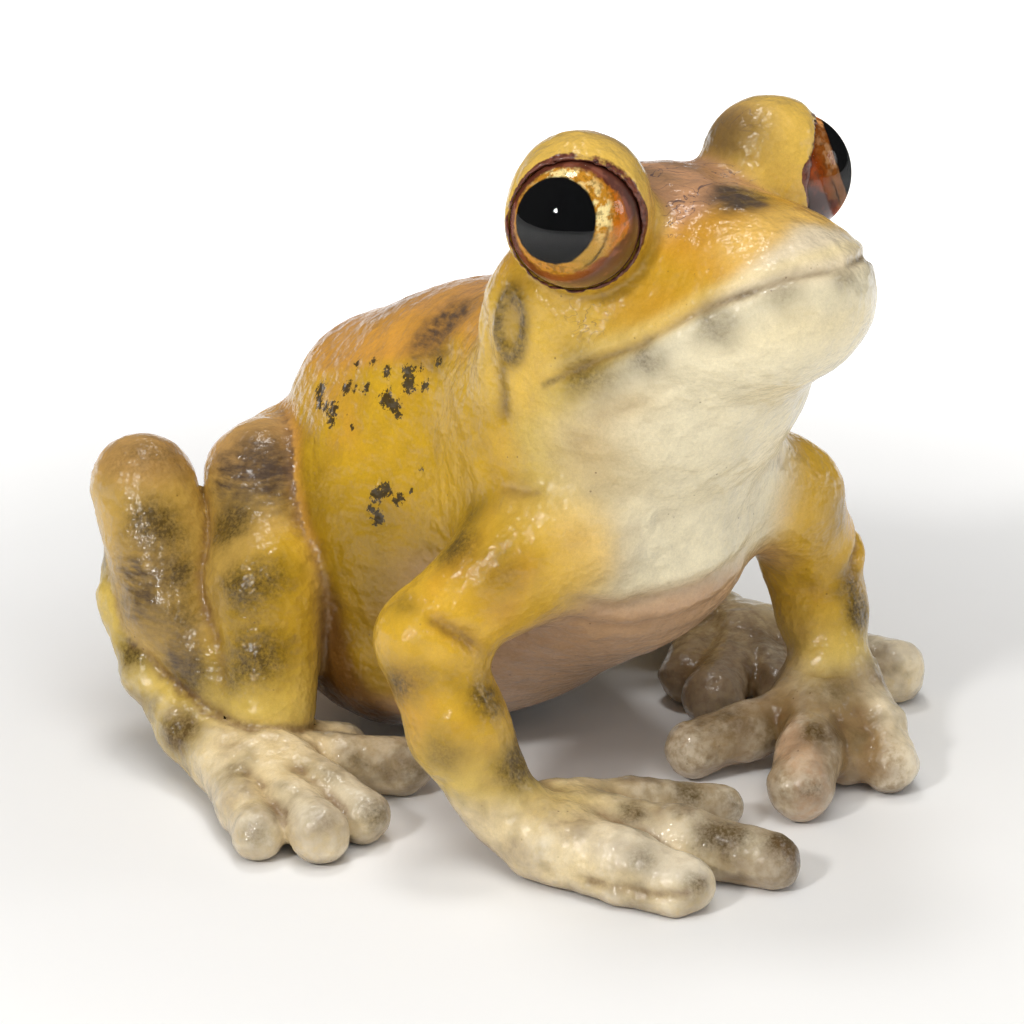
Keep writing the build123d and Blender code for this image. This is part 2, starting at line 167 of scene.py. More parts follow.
def forelimb_right():
    return (
        chain([(-13, -14, 38, 9.0), (-20, -10.5, 33.5, 6.6), (-29.5, -7, 27, 5.9)], 3, 0)
        + chain([(-30, -7.2, 26, 5.9), (-29.2, -11.5, 16.5, 5.6), (-27, -15.5, 8.5, 4.7)], 2)
        + [Ell((-24, -20.5, 4.6), (6.3, 8.2, 4.5), rot(0, 0, -10), 3)]
        + chain([(-24.8, -22, 4.5, 4.3), (-22.6, -32, 3.9, 3.7), (-20.6, -39.2, 3.2, 3.4)], 1.8)
        + chain([(-27.5, -21, 2.6, 2.2), (-24.8, -33, 2.0, 1.8), (-22.6, -39.4, 1.6, 1.7)], 1.0)
        + chain([(-19, -21.5, 4.7, 3.8), (-13.6, -33, 4.0, 3.8), (-9.0, -42.2, 3.2, 3.4)], 1.5)
        + chain([(-19, -17.5, 5.2, 3.4), (-10, -21.5, 4.2, 2.8), (-1.8, -28.0, 2.8, 2.9)], 1.5)
    )


def forelimb_left():
    return (
        chain([(12, -14, 38, 9.0), (22.0, -16.4, 33.4, 6.8), (29, -15.5, 23.5, 6.1)], 3, 0)
        + chain([(29, -15.6, 22.5, 6.0), (28.2, -18, 17.3, 5.5), (26.2, -21.3, 12.2, 4.9)], 2)
        + [Ell((22.5, -23.5, 7.4), (7.2, 7, 4.8), rot(0, 0, 20), 3.5)]
        + chain([(21, -22.5, 6.8, 3.8), (13, -18.8, 5.2, 3.3), (6.6, -16.2, 4.0, 3.7)], 1.5)
        + chain([(20, -25, 7, 4.0), (13, -29.5, 5.6, 3.9), (7.2, -33.0, 3.9, 4.0)], 1.5)
        + chain([(22, -26, 6.4, 3.8), (18.5, -31.0, 4.0, 3.6)], 1.5)
        + chain([(27, -24, 9, 4.0), (24.5, -30.5, 6, 3.4), (21.0, -35.6, 3.3, 3.4)], 1.5)
    )


def hind_leg_right():
    return (
        chain([(-11, 38, 32, 8.0), (-18.5, 35, 33.0, 6.6), (-26, 26, 23, 6.9), (-30, 21.5, 9.6, 6.0)], 3, 0)
        + chain([(-31, 24, 9, 5.4), (-32.3, 35.8, 19.2, 6.8), (-30.2, 44.2, 32.5, 6.7)], 0.8)
    )


def hind_leg_left():
    return (
        chain([(11, 36, 32, 8.0), (19, 30, 32, 6.6), (27.5, 18, 22, 6.9), (33, 11.0, 9.6, 6.0)], 3, 0)
        + chain([(34, 14, 9, 5.4), (35.5, 25, 18, 6.5), (33.5, 34, 31.4, 6.1)], 0.8)
    )


def hind_foot_right():
    return (
        chain([(-30.6, 46.0, 28, 3.6), (-34.9, 42.6, 19, 3.3), (-36.8, 36.0, 11.5, 3.4), (-36.8, 28, 6.6, 3.9), (-37.4, 22, 4.9, 4.2)], 1.5, 0)
        + [Ell((-36.2, 16.5, 4.6), (6.4, 8.5, 4.5), k=2.5)]
        + chain([(-39.0, 19.5, 4.6, 3.3), (-43.4, 11, 3.8, 2.8), (-46.0, 5.2, 3.1, 3.2)], 1.2)
        + chain([(-36.6, 16, 5.2, 3.4), (-39.4, 6.5, 4.2, 3.1), (-41.3, -0.4, 3.4, 3.6)], 1.2)
        + chain([(-34, 15, 5.6, 3.5), (-34.4, 6, 4.4, 3.0), (-34.3, -0.2, 3.2, 3.4)], 1.2)
        + chain([(-32, 17, 4.8, 3.4), (-27, 11.8, 4.2, 3.4), (-21.6, 6.4, 3.5, 3.7)], 1.2)
        + chain([(-32, 21, 4.6, 3.2), (-27, 18.5, 4.0, 3.0), (-23.0, 16.2, 3.2, 3.3)], 1.2)
    )


def hind_foot_left():
    return (
        chain([(34.5, 36.4, 27, 3.6), (38.0, 32, 18, 3.2), (39.8, 25, 11, 3.3), (40.2, 17.5, 6.6, 3.9), (40, 11, 4.9, 4.2)], 1.5, 0)
        + [Ell((37.6, 3.5, 4.6), (7.2, 8.5, 4.5), k=2.5)]
        + chain([(41, 4, 4.6, 3.3), (43.3, -9, 4.4, 3.0), (43.4, -18.2, 4.1, 4.2)], 1.2)
        + chain([(38, 2, 5.2, 3.4), (38, -6, 4.2, 3.1), (37, -12.5, 3.4, 3.6)], 1.2)
        + chain([(35, 1, 5.6, 3.5), (32, -6, 4.4, 3.0), (29, -11, 3.2, 3.4)], 1.2)
        + chain([(34, 1, 4.8, 3.4), (27, -4, 4.4, 3.4), (20.4, -7.2, 3.9, 4.0)], 1.2)
        + chain([(33, 6, 4.8, 3.2), (28, 3, 4.4, 3.0), (24.0, 0.6, 3.5, 3.6)], 1.2)
    )


GROUPS = [
    ("torso_shell", torso(), 0), ("forelimb_right", forelimb_right(), 3.5), ("forelimb_left", forelimb_left(), 3.5),
    ("hind_leg_right", hind_leg_right(), 2.0), ("hind_leg_left", hind_leg_left(), 2.0),
    ("hind_foot_right", hind_foot_right(), 0.8), ("hind_foot_left", hind_foot_left(), 0.8),
]
TORSO, ARM_R, ARM_L, LEG_R, LEG_L, FOOT_R, FOOT_L = range(7)
PLUG = (0.0, 18.5)                            # the pour hole under the belly


def cell_field(p, mid, radius):
    """The field and each casting's own distance at points near mid."""
    own = np.full((len(p), len(GROUPS)), F(9.0))
    d = None
    for g, (_, ops, k) in enumerate(GROUPS):
        near = [o for o in ops if np.linalg.norm(o.mid - mid) - o.reach < radius + 9]
        if not near:
            continue
        e = np.full(len(p), F(1e3))
        for o in near:
            e = smin(e, o.d(p), o.k)
        own[:, g] = e
        d = e if d is None else smin(d, e, F(k))
    if d is None:
        return np.full(len(p), F(9.0)), own
    for s in (-1, 1):
        q = p - EYES[s].astype(F)
        cut = np.maximum(np.sqrt((q * q).sum(1)) - F(EYE_R + 0.04), F(0.3) - q @ LID[s].astype(F))
        d = smax(d, -cut, F(0.35))
    r = np.hypot(p[:, 0] - F(PLUG[0]), p[:, 1] - F(PLUG[1]))
    z = p[:, 2]
    d = smax(d, -np.maximum(r - F(6.6), z - F(4.9)), F(0.3))
    d = smax(d, -np.maximum(r - F(5.04), z - F(9.6)), F(0.3))
    d = smax(d, -z, F(0.25))
    return d.astype(F), own


def field(p, cell=6.0):
    """The field at scattered points, a cell at a time."""
    p = p.astype(F)
    key = np.floor(p / cell).astype(np.int64) + 64
    code = (key[:, 0] * 512 + key[:, 1]) * 512 + key[:, 2]
    order = np.argsort(code, kind="stable")
    cut = np.flatnonzero(np.diff(code[order])) + 1
    d, own = np.empty(len(p), F), np.empty((len(p), len(GROUPS)), F)
    for part in np.split(order, cut):
        mid = (key[part[0]] - 64 + 0.5) * cell
        d[part], own[part] = cell_field(p[part], mid, cell * 0.87)
    return d, own


def grid_field(lo, hi, h, block=12):
    lo, hi = np.array(lo, float), np.array(hi, float)
    n = np.ceil((hi - lo) / h / block).astype(int)
    grid = np.full(n * block + 1, F(9.0))
    axis = np.arange(block + 1)
    local = np.stack(np.meshgrid(axis, axis, axis, indexing="ij"), -1).reshape(-1, 3)
    size = block * h
    half = size * 0.5 * math.sqrt(3)
    for i in np.ndindex(*n):
        i = np.array(i)
        mid = lo + (i + 0.5) * size
        centre, _ = cell_field(mid[None].astype(F), mid, half)
        a = i * block
        view = (slice(a[0], a[0] + block + 1), slice(a[1], a[1] + block + 1), slice(a[2], a[2] + block + 1))
        if abs(centre[0]) > half * 1.35 + 1.5:
            if centre[0] < 0:
                grid[view] = -9
            continue
        d, _ = cell_field((lo + (a + local) * h).astype(F), mid, half)
        grid[view] = d.reshape(block + 1, block + 1, block + 1)
    return grid, lo


def surface_nets(grid, lo, h):
    inside = grid < 0
    n = np.array(grid.shape)
    count = np.zeros(n - 1, np.int16)
    for dx in (0, 1):
        for dy in (0, 1):
            for dz in (0, 1):
                count += inside[dx:n[0] - 1 + dx, dy:n[1] - 1 + dy, dz:n[2] - 1 + dz]
    active = (count > 0) & (count < 8)
    ids = np.argwhere(active)
    index = np.full(active.shape, -1, np.int64)
    index[active] = np.arange(len(ids))
    total, hits = np.zeros((len(ids), 3)), np.zeros(len(ids))
    corner = [(0, 0, 0), (1, 0, 0), (0, 1, 0), (1, 1, 0), (0, 0, 1), (1, 0, 1), (0, 1, 1), (1, 1, 1)]
    for e0, e1 in [(0, 1), (2, 3), (4, 5), (6, 7), (0, 2), (1, 3), (4, 6), (5, 7), (0, 4), (1, 5), (2, 6), (3, 7)]:
        o0, o1 = np.array(corner[e0]), np.array(corner[e1])
        g0 = grid[ids[:, 0] + o0[0], ids[:, 1] + o0[1], ids[:, 2] + o0[2]].astype(float)
        g1 = grid[ids[:, 0] + o1[0], ids[:, 1] + o1[1], ids[:, 2] + o1[2]].astype(float)
        m = (g0 < 0) != (g1 < 0)
        t = np.where(m, g0 / np.where(m, g0 - g1, 1), 0)
        total += np.where(m[:, None], o0 + (o1 - o0) * t[:, None], 0)
        hits += m
    verts = lo + (ids + total / hits[:, None]) * h
    quads = []
    for ax in range(3):
        a, b = [slice(None)] * 3, [slice(None)] * 3
        a[ax], b[ax] = slice(0, n[ax] - 1), slice(1, n[ax])
        s0, s1 = inside[tuple(a)], inside[tuple(b)]
        o1, o2 = [(1, 2), (2, 0), (0, 1)][ax]
        e = np.argwhere(s0 != s1)
        e = e[(e[:, o1] > 0) & (e[:, o2] > 0) & (e[:, o1] < n[o1] - 1) & (e[:, o2] < n[o2] - 1)]
        flip = s0[e[:, 0], e[:, 1], e[:, 2]]

        def at(d1, d2):
            q = e.copy()
            q[:, o1] -= d1
            q[:, o2] -= d2
            return index[q[:, 0], q[:, 1], q[:, 2]]

        q = np.stack([at(1, 1), at(0, 1), at(0, 0), at(1, 0)], 1)
        quads.append(np.where(flip[:, None], q, q[:, ::-1]))
    return verts, np.concatenate(quads)


def normals_of(v, q):
    n = np.cross(v[q[:, 2]] - v[q[:, 0]], v[q[:, 3]] - v[q[:, 1]])
    out = np.stack([sum(np.bincount(q[:, j], n[:, i], len(v)) for j in range(4)) for i in range(3)], 1)
    return out / (np.linalg.norm(out, axis=1)[:, None] + 1e-12)


def edges_of(q):
    e = np.concatenate([q[:, [0, 1]], q[:, [1, 2]], q[:, [2, 3]], q[:, [3, 0]]])
    e = np.sort(e, 1)
    return np.unique(e, axis=0)


def average(x, e, rounds=1, share=0.5):
    """x relaxed over the mesh's edges."""
    x = x.astype(float)
    n = len(x)
    deg = np.bincount(e.ravel(), minlength=n)
    for _ in range(rounds):
        if x.ndim == 1:
            m = (np.bincount(e[:, 0], x[e[:, 1]], n) + np.bincount(e[:, 1], x[e[:, 0]], n)) / deg
        else:
            m = np.stack([(np.bincount(e[:, 0], x[e[:, 1], i], n) + np.bincount(e[:, 1], x[e[:, 0], i], n)) / deg
                          for i in range(x.shape[1])], 1)
        x = x + share * (m - x)
    return x


def value_noise(p, seed=0):
    """Smooth noise from -1 to 1 at p, one cell per unit."""
    i = np.floor(p).astype(np.int64)
    f = p - i
    f = f * f * f * (f * (f * 6 - 15) + 10)
    out = 0
    for c in range(8):
        o = np.array([c & 1, c >> 1 & 1, c >> 2 & 1])
        j = i + o
        h = (j[:, 0] * 73856093) ^ (j[:, 1] * 19349663) ^ (j[:, 2] * 83492791) ^ (seed * 2654435761)
        h = (h ^ (h >> 13)) * 1274126177
        h = (h ^ (h >> 16)) & 0xFFFFFF
        w = np.where(o, f, 1 - f).prod(1)
        out = out + w * (h / float(0x7FFFFF) - 1)
    return out


def fractal(p, seed=0, octaves=3):
    return sum(value_noise(p * 2.03 ** k + 17.3 * k, seed + k) * 0.55 ** k for k in range(octaves))


def ramp(x, a, b):
    t = np.clip((x - a) / (b - a), 0, 1)
    return t * t * (3 - 2 * t)


def line_distance(p, points):
    """Distance from p to a line of points, and how far along it, from 0 to 1."""
    pts = np.array(points, float)
    best, along = np.full(len(p), 1e9), np.zeros(len(p))
    seg = np.linalg.norm(np.diff(pts, axis=0), axis=1)
    start = np.concatenate([[0], np.cumsum(seg)])
    for i, (a, b) in enumerate(zip(pts, pts[1:])):
        ba = b - a
        t = np.clip(((p - a) @ ba) / (ba @ ba), 0, 1)
        d = np.linalg.norm(p - a - t[:, None] * ba, axis=1)
        m = d < best
        best[m] = d[m]
        along[m] = (start[i] + t[m] * seg[i]) / start[-1]
    return best, along


def spots(p, table, grow=1.0):
    """Soft round spots (x, y, z, radius, strength) painted over each other."""
    clear = np.ones(len(p))
    for x, y, z, r, s in table:
        d2 = ((p - (x, y, z)) ** 2).sum(1) / (r * grow) ** 2
        clear *= 1 - np.clip(s * np.exp(-0.7 * d2), 0, 1)
    return 1 - clear


def flip(points, dx=0.0, dy=0.0, dz=0.0):
    return [(-q[0] + dx, q[1] + dy, q[2] + dz) + tuple(q[3:]) for q in points]


def rgb(r, g, b):
    c = np.array([r, g, b]) / 255.0
    return np.where(c <= 0.04045, c / 12.92, ((c + 0.055) / 1.055) ** 2.4)


# ------------------------------------------------------------------ lines, folds, spots

MOUTH = [(-19.7, -15.9, 57.1), (-17.8, -21.8, 60.7), (-16.5, -27.5, 63.6), (-13.1, -33.2, 68.1), (-10.3, -37.2, 70.2), (-6.3, -40.1, 71.7), (-1.5, -41.9, 71.9), (0, -42.3, 71.8)]
NECK = [(-18.5, -4.0, 65.5), (-19.9, -6.5, 61.6), (-20.0, -7.8, 57.1), (-20.1, -9.1, 53.8), (-20.0, -10.0, 50.6)]
FOLD = [(-20.3, -19.0, 34.1), (-17.6, -18.9, 31.3), (-12.7, -19.8, 29.3), (-8.4, -22.2, 29.6), (-1.9, -24.1, 30.2), (3.3, -24.2, 31.4), (11, -22.5, 33.0)]
RIDGE = [(-14.3, 31.7, 43.1), (-12.8, 30.0, 46.0), (-13.2, 24.9, 48.8), (-13.9, 14.2, 51.9), (-13.0, 8.2, 54.5), (-11.2, 4.9, 58.3)]
THROAT = [
    ([(-19.8, -13.7, 54.8), (-19.0, -17.7, 53.8), (-17.5, -22.5, 54.2), (-15.4, -26.5, 56.1), (-13.7, -30.9, 59.7)], 0.8, 0.14),
    ([(-18.5, -17.2, 48.2), (-16.1, -22.7, 48.7), (-12.7, -27.2, 50.4), (-8.4, -30.8, 53.2), (-5.5, -35.6, 57.1)], 1.2, 0.16),
    ([(-16.9, -22.0, 39.3), (-10.3, -23.7, 39.2), (-4.1, -25.8, 41.3), (3.8, -26.5, 42.5), (18.0, -20.6, 41.4)], 1.4, 0.16),
    ([(-20.7, -9.9, 43.5), (-20.4, -13.0, 43.6), (-19.8, -16.0, 44.3)], 0.5, 0.25),
]
ELBOW = [(-33.2, -9.6, 31.2), (-32.1, -11.8, 30.3), (-31.1, -12.9, 29.3), (-29.7, -13.6, 28.2), (-28.2, -13.2, 26.9), (-26.8, -12.2, 25.9), (-25.6, -10.4, 25.3)]
FLANK_FOLD = [(-16.3, 2.7, 52.7), (-19.1, -1.8, 50.7), (-20.0, -4.1, 47.8), (-20.3, -5.7, 44.6), (-21.1, -8.5, 42.4)]
FINGER = [(-28.0, -28.0, 3.0), (-26.7, -32.6, 3.0), (-25.3, -35.9, 2.9), (-24.2, -38.8, 3.1), (-22.9, -41.6, 3.7)]
BUMPS = [(-21.4, -11.8, 42.4, 1.0, .3), (-20.3, -5.7, 44.6, 1.0, .25), (-20.1, -7.4, 49.6, 1.1, .4), (-19.2, -5.0, 55.7, .9, .3), (-18.8, -4.6, 57.1, .8, .3),
         (-17.2, 3.9, 46.4, 1.2, .2), (-19.7, 9.7, 36.1, 1.2, .3), (-18.3, -18.4, 65.1, .9, .2), (-16.3, -21.2, 66.2, .9, .2), (-14.5, -27.6, 75.7, .8, .2), (-11.5, -27.5, 72.9, 1.3, .2)]

BANDS_ARM = [(-26.3, -8.2, 37.3, 1.5, 1), (-22.7, -6.5, 39.3, 1.3, .7), (-25.4, -15.0, 35.8, 2.2, .5), (-33.5, -7.2, 31.7, 1.0, .5), (-35.6, -8.0, 22.9, 1.4, .85),
             (-34.9, -11.1, 24.6, 1.2, .4), (-32.5, -13.5, 24.4, 1.0, .35), (-28.2, -15.8, 21.2, 1.3, 1), (-29.6, -15.6, 21.6, 1.1, .6), (-34.6, -14.3, 16.0, 1.6, .6), (-25.2, -17.0, 13.2, 1.5, .9),
             (-28.5, -18.7, 13.3, 1.4, .6), (-26.8, -18.8, 13.0, 1.3, .6)]
BANDS_LEG = [(-22.2, 30.2, 37.4, 2.2, .7), (-29.1, 30.0, 30.2, 1.5, 1), (-28.1, 28.8, 31.5, 1.3, .7), (-32.7, 23.2, 25.4, 1.8, .9), (-30.0, 20.5, 26.4, 1.5, .6), (-27.7, 19.5, 26.6, 1.2, .3),
             (-33.5, 20.3, 17.3, 2.0, .85), (-31.2, 18.5, 18.1, 1.4, .5), (-35.1, 22.0, 14.0, 1.1, .5), (-31.3, 41.3, 37.4, 1.8, .6), (-34.4, 43.4, 35.9, 1.5, .5),
             (-28.4, 40.0, 36.6, 1.3, .4), (-34.9, 38.0, 30.6, 1.6, .95), (-33.7, 35.8, 29.5, 1.4, .8), (-34.5, 32.6, 25.0, 1.4, .9), (-36.1, 29.8, 20.2, 1.6, .7), (-36.8, 27.1, 14.8, 1.3, .7),
             (-38.1, 35.5, 21.8, 1.6, .5), (-37.6, 28.4, 11.3, 1.3, .9), (-38.8, 24.4, 9.4, 1.1, .9), (-39.5, 20.9, 8.8, 1.0, .9)]
DUSK_LEG = [(-22.2, 30.2, 37.4, 2.6, .8), (-24.6, 31.9, 36.3, 2.0, .8), (-20.0, 27.9, 36.2, 2.0, .8), (-26.2, 33.3, 34.4, 1.9, .7), (-22.9, 27.3, 34.2, 1.9, .5),
            (-37.2, 37.0, 25.0, 2.2, .75), (-38.1, 35.0, 21.8, 2.0, .75), (-37.3, 29.1, 15.9, 1.8, .9), (-37.6, 28.4, 11.3, 1.3, .5)]
BANDS_FOOT = [(-35.7, 44.7, 24.1, 1.3, .8), (-38.6, 36.5, 14.9, 1.8, .9), (-40.9, 26.4, 7.5, 1.6, .9), (-40.1, 25.0, 8.5, 1.4, .8), (-48.2, 3.2, 4.4, 1.2, .6), (-42.4, -2.6, 6.0, 1.4, .5),
              (-35.0, -3.1, 4.8, 1.6, .7), (-34.9, 4.6, 7.4, 1.2, .5), (-35.9, 7.9, 7.5, 1.2, .4), (-42.9, 13.1, 6.9, 1.2, .5)]
HAND_RIGHT = [(-8.6, -44.3, 5.9, 1.3, 1.0), (-6.6, -43.6, 5.2, 1.2, 0.9), (-23.8, -35.9, 6.5, 1.1, .6), (-17.7, -28.3, 7.9, 1.3, .8), (-21.6, -42.0, 4.9, 0.8, .7), (-5.8, -26.8, 5.7, 1.3, .8), (-14.0, -37.4, 6.9, 1.2, .8), (-12.8, -39.1, 6.7, 1.6, .85), (-7.2, -44.5, 4.0, 1.5, .9), (-2.1, -30.6, 3.9, 1.0, .6), (-22.6, -41.8, 3.5, 1.0, .4)]
HAND_LEFT = [(27.9, -22.6, 21.6, 1.3, .9), (11.6, -31.4, 9.3, 1.2, 1), (19.9, -27.3, 11.2, 1.5, .6), (5.4, -36.3, 5.5, 1.2, .7), (10.1, -20.1, 7.6, 1.2, .5), (13.8, -22.8, 6.9, 1.2, .6), (41.6, -22.0, 4.9, 1.4, .5)]
BACK = [(-10.5, 9.7, 56.6, 1.9, 1.2), (-9.2, 8.8, 57.9, 1.4, .9), (-11.8, 11.2, 55.1, 1.3, .7), (-12.9, 11.7, 53.7, 1.1, .6), (-13.5, 7.5, 54.0, 1.0, .6)]
BACK_MORE = [(-4.5, 24, 54.5, 2.2, .5), (5.5, 14, 58, 2.4, .6), (1.0, 30, 51, 2.0, .4), (-5.0, 37.0, 46.0, 2.0, .4), (3, 2, 61, 2.2, .5)]
SNOUT = [(0.9, -26.0, 77.4, 1.4, 0.9), (-1.6, -28.8, 77.0, 1.3, 0.8), (-0.4, -27.5, 77.4, 1.7, 1.3), (1.6, -28.6, 77.6, 0.8, .8), (0.6, -25.6, 77.6, 0.7, .7)]
JAW = [(-18.4, -20.1, 58.9, 2.0, .75), (-17.6, -23.6, 59.6, 1.6, .4), (-16.4, -28.2, 62.0, 1.6, .7), (-12.8, -35.1, 66.7, 1.6, .65), (-7.3, -40.3, 70.4, 1.5, .5), (0.5, -43.2, 71.2, 1.0, .5)]
DABS = [(-14.5, 28.0, 45.2, .7), (-15.8, 26.7, 44.1, .5), (-16.9, 23.2, 44.4, .7), (-17.6, 22.6, 43.3, .5), (-15.5, 22.1, 47.1, .6), (-15.7, 18.4, 48.0, .5), (-16.1, 14.4, 47.7, .75), (-16.3, 12.4, 47.0, .55),
        (-14.5, 11.9, 51.1, .65), (-15.2, 11.3, 49.8, .7), (-14.7, 15.5, 50.4, .5), (-15.0, 8.6, 50.3, .5), (-13.8, 21.7, 49.8, .4), (-13.9, 18.5, 50.8, .4), (-13.9, 7.2, 53.4, .4),
        (-19.9, 12.0, 37.0, .7), (-19.4, 11.0, 37.8, .55), (-19.3, 8.9, 37.0, .55), (-20.5, 11.3, 34.3, .6), (-20.5, 12.6, 35.2, .4), (-18.0, 6.1, 41.2, .3), (-18.8, 7.3, 38.4, .25), (-17.9, 18.6, 43.5, .3),
        (-15.2, 27.3, 44.6, .5), (-16.3, 24.9, 44.2, .5), (-15.6, 20.3, 47.4, .35), (-16.2, 13.4, 47.3, .55), (-14.9, 11.5, 50.5, .55), (-16.6, 11.6, 46.2, .35), (-14.2, 10.2, 52.0, .35)]

# ------------------------------------------------------------------ mesh the skin

grid, low = grid_field((-54, -50, -3), (54, 56, 92), STEP)
V, Q = surface_nets(grid, low, STEP)
del grid
for _ in range(2):
    d0, _own = field(V)
    g = np.stack([field(V + np.eye(3)[i] * 0.08)[0] - d0 for i in range(3)], 1) / 0.08
    g2 = np.maximum((g * g).sum(1), 0.25)
    V = V - np.clip(d0 / g2, -STEP, STEP)[:, None] * g
E_ = edges_of(Q)
N = normals_of(V, Q)
_d, own = field(V)
own = np.stack([average(own[:, i], E_, 3) for i in range(7)], 1)
home = own.argmin(1)


def sculpt(v, n):
    """How far each point of the skin is raised along its normal, mm."""
    d = np.zeros(len(v))
    feet = np.isin(home, (FOOT_R, FOOT_L)) | (np.isin(home, (ARM_R, ARM_L)) & (v[:, 2] < 12))
    d += fractal(v / 4.5, 3) * 0.10 + fractal(v / 1.7, 9) * np.where(feet, 0.07, 0.05)
    d += np.where(feet, fractal(v / 4.2, 12) * 0.22, 0.0)
    legs = np.isin(home, (LEG_R, LEG_L))
    across = v[:, 2] * 1.0 + 0.35 * v[:, 1] + 1.3 * value_noise(v / 3.0, 14)
    d += legs * 0.055 * np.sin(across * 4.2) * ramp(value_noise(v / 3.2, 15), -0.1, 0.5) * ramp(v[:, 2], 12, 20)
    both = lambda pts: (pts, flip(pts))

    def groove(pts, w, depth, lip=0.0, ends=0.12, wobble=0.35):
        box = np.array([q[:3] for q in pts])
        m = ((v > box.min(0) - 6 * w - 1) & (v < box.max(0) + 6 * w + 1)).all(1)
        p = v[m] + 0.3 * wobble * np.stack([value_noise(v[m] / 2.2, 31 + i) for i in range(3)], 1)
        r, t = line_distance(p, [q[:3] for q in pts])
        fade = ramp(t, 0, ends) * ramp(1 - t, 0, ends) if ends else 1.0
        d[m] += fade * (-depth * np.exp(-(r / w) ** 2) + lip * np.exp(-((r - 2.1 * w) / w) ** 2))

    for pts in both(MOUTH):
        groove(pts, 0.55, 0.62, 0.0, 0.1)
        under = [(q[0] * 1.0, q[1] - 0.3, q[2] - 1.6) for q in pts]
        groove(under, 0.9, -0.22, 0.0, 0.15)
        over = [(q[0] * 1.0, q[1] + 0.2, q[2] + 1.5) for q in pts]
        groove(over, 0.9, -0.26, 0.0, 0.15)
    for pts in both(NECK):
        groove(pts, 1.4, 0.5, 0.12)
    groove(FOLD, 1.1, 0.5, 0.25, 0.3)
    groove([(q[0], q[1] + 2.2, q[2] - 3.4) for q in FOLD[1:-1]], 1.0, 0.22, 0.1)
    for pts in both(RIDGE):
        groove(pts, 1.6, -0.30)
    for line, w, depth in THROAT:
        groove(line, w, depth, depth * 0.4)
    groove(FINGER, 0.5, 0.4, 0.15)
    for pts in (ELBOW, flip(ELBOW, 0, -8, -4)):
        groove(pts, 0.95, 0.85, 0.22, 0.12)
    for pts in both(FLANK_FOLD):
        groove(pts, 1.2, -0.28)
    for x, y, z, r, s in BUMPS + flip(BUMPS):
        d[:] += s * np.exp(-(((v - (x, y, z)) ** 2).sum(1)) / r ** 2)
    # ear drums: an upright oval rim with a sunk middle
    for s in (-1, 1):
        c = np.array([s * 20.3, -11.3, 63.3])
        q = v - c
        m = (np.abs(q) < 9).all(1) & (np.abs(v[:, 0]) > 14)
        up = q[:, 2] * 0.99 + q[:, 1] * -0.12
        side = q[:, 1] * 0.99 + q[:, 2] * 0.12
        r = np.hypot(up / 3.6, side / 1.9)
        d[m] += (0.34 * np.exp(-((r - 1.05) / 0.24) ** 2) - 0.30 * np.exp(-(r / 0.72) ** 4))[m]
    # knobbly warts on back, flanks and thighs
    wart = np.clip(value_noise(v / 1.5, 71) - 0.35, 0, 1) * np.clip(value_noise(v / 6.0, 72) + 0.2, 0, 1)
    d += 0.28 * wart * (n[:, 2] > -0.2) * (v[:, 2] > 20) * ramp(-v[:, 1], -60, 5)
    # lids: the surface detail fades out close round each eyeball
    for s in (-1, 1):
        e = np.linalg.norm(v - EYES[s], axis=1) - EYE_R
        d *= 1 - 0.92 * ramp(-e, -1.9, -0.8)
    keep = ramp(v[:, 2], 0.05, 1.2)           # soles stay flat
    hole = np.hypot(v[:, 0] - PLUG[0], v[:, 1] - PLUG[1]) < 7.4
    keep[hole & (v[:, 2] < 11)] = 0
    return d * keep


V0 = V.copy()
lift = sculpt(V, N)
V = V + N * lift[:, None]
V[:, 2] = np.maximum(V[:, 2], 0.0)
for s in (-1, 1):                             # run the lid edges smooth
    q = V - EYES[s]
    h = q @ LID[s]
    flat = np.sqrt(np.maximum((q * q).sum(1) - h * h, 0))
    near_lid = ramp(-np.hypot(flat - 7.5, h - LID_RISE), -1.9, -1.1)[:, None]
    for _ in range(5):
        V = V + 0.6 * near_lid * (average(V, E_, 1) - V)
N = normals_of(V, Q)
soft = average(V, E_, 14)
cave = ((soft - V) * N).sum(1)                # above 0 in a hollow
cave = average(cave, E_, 2)
wide = average(soft, E_, 60)
hollow = ((wide - V) * N).sum(1)

# ------------------------------------------------------------------ paint


def mixc(a, b, w):
    return a + (b - a) * np.clip(w, 0, 1)[:, None]


OCHRE, AMBER, OLIVE = rgb(203, 160, 26), rgb(204, 146, 56), rgb(138, 106, 8)
CREAM, BEIGE, LIP = rgb(228, 216, 182), rgb(184, 148, 112), rgb(206, 184, 142)
ROSE, HAND, TOE = rgb(186, 138, 98), rgb(222, 200, 152), rgb(220, 198, 152)
STRAW = rgb(208, 184, 104)


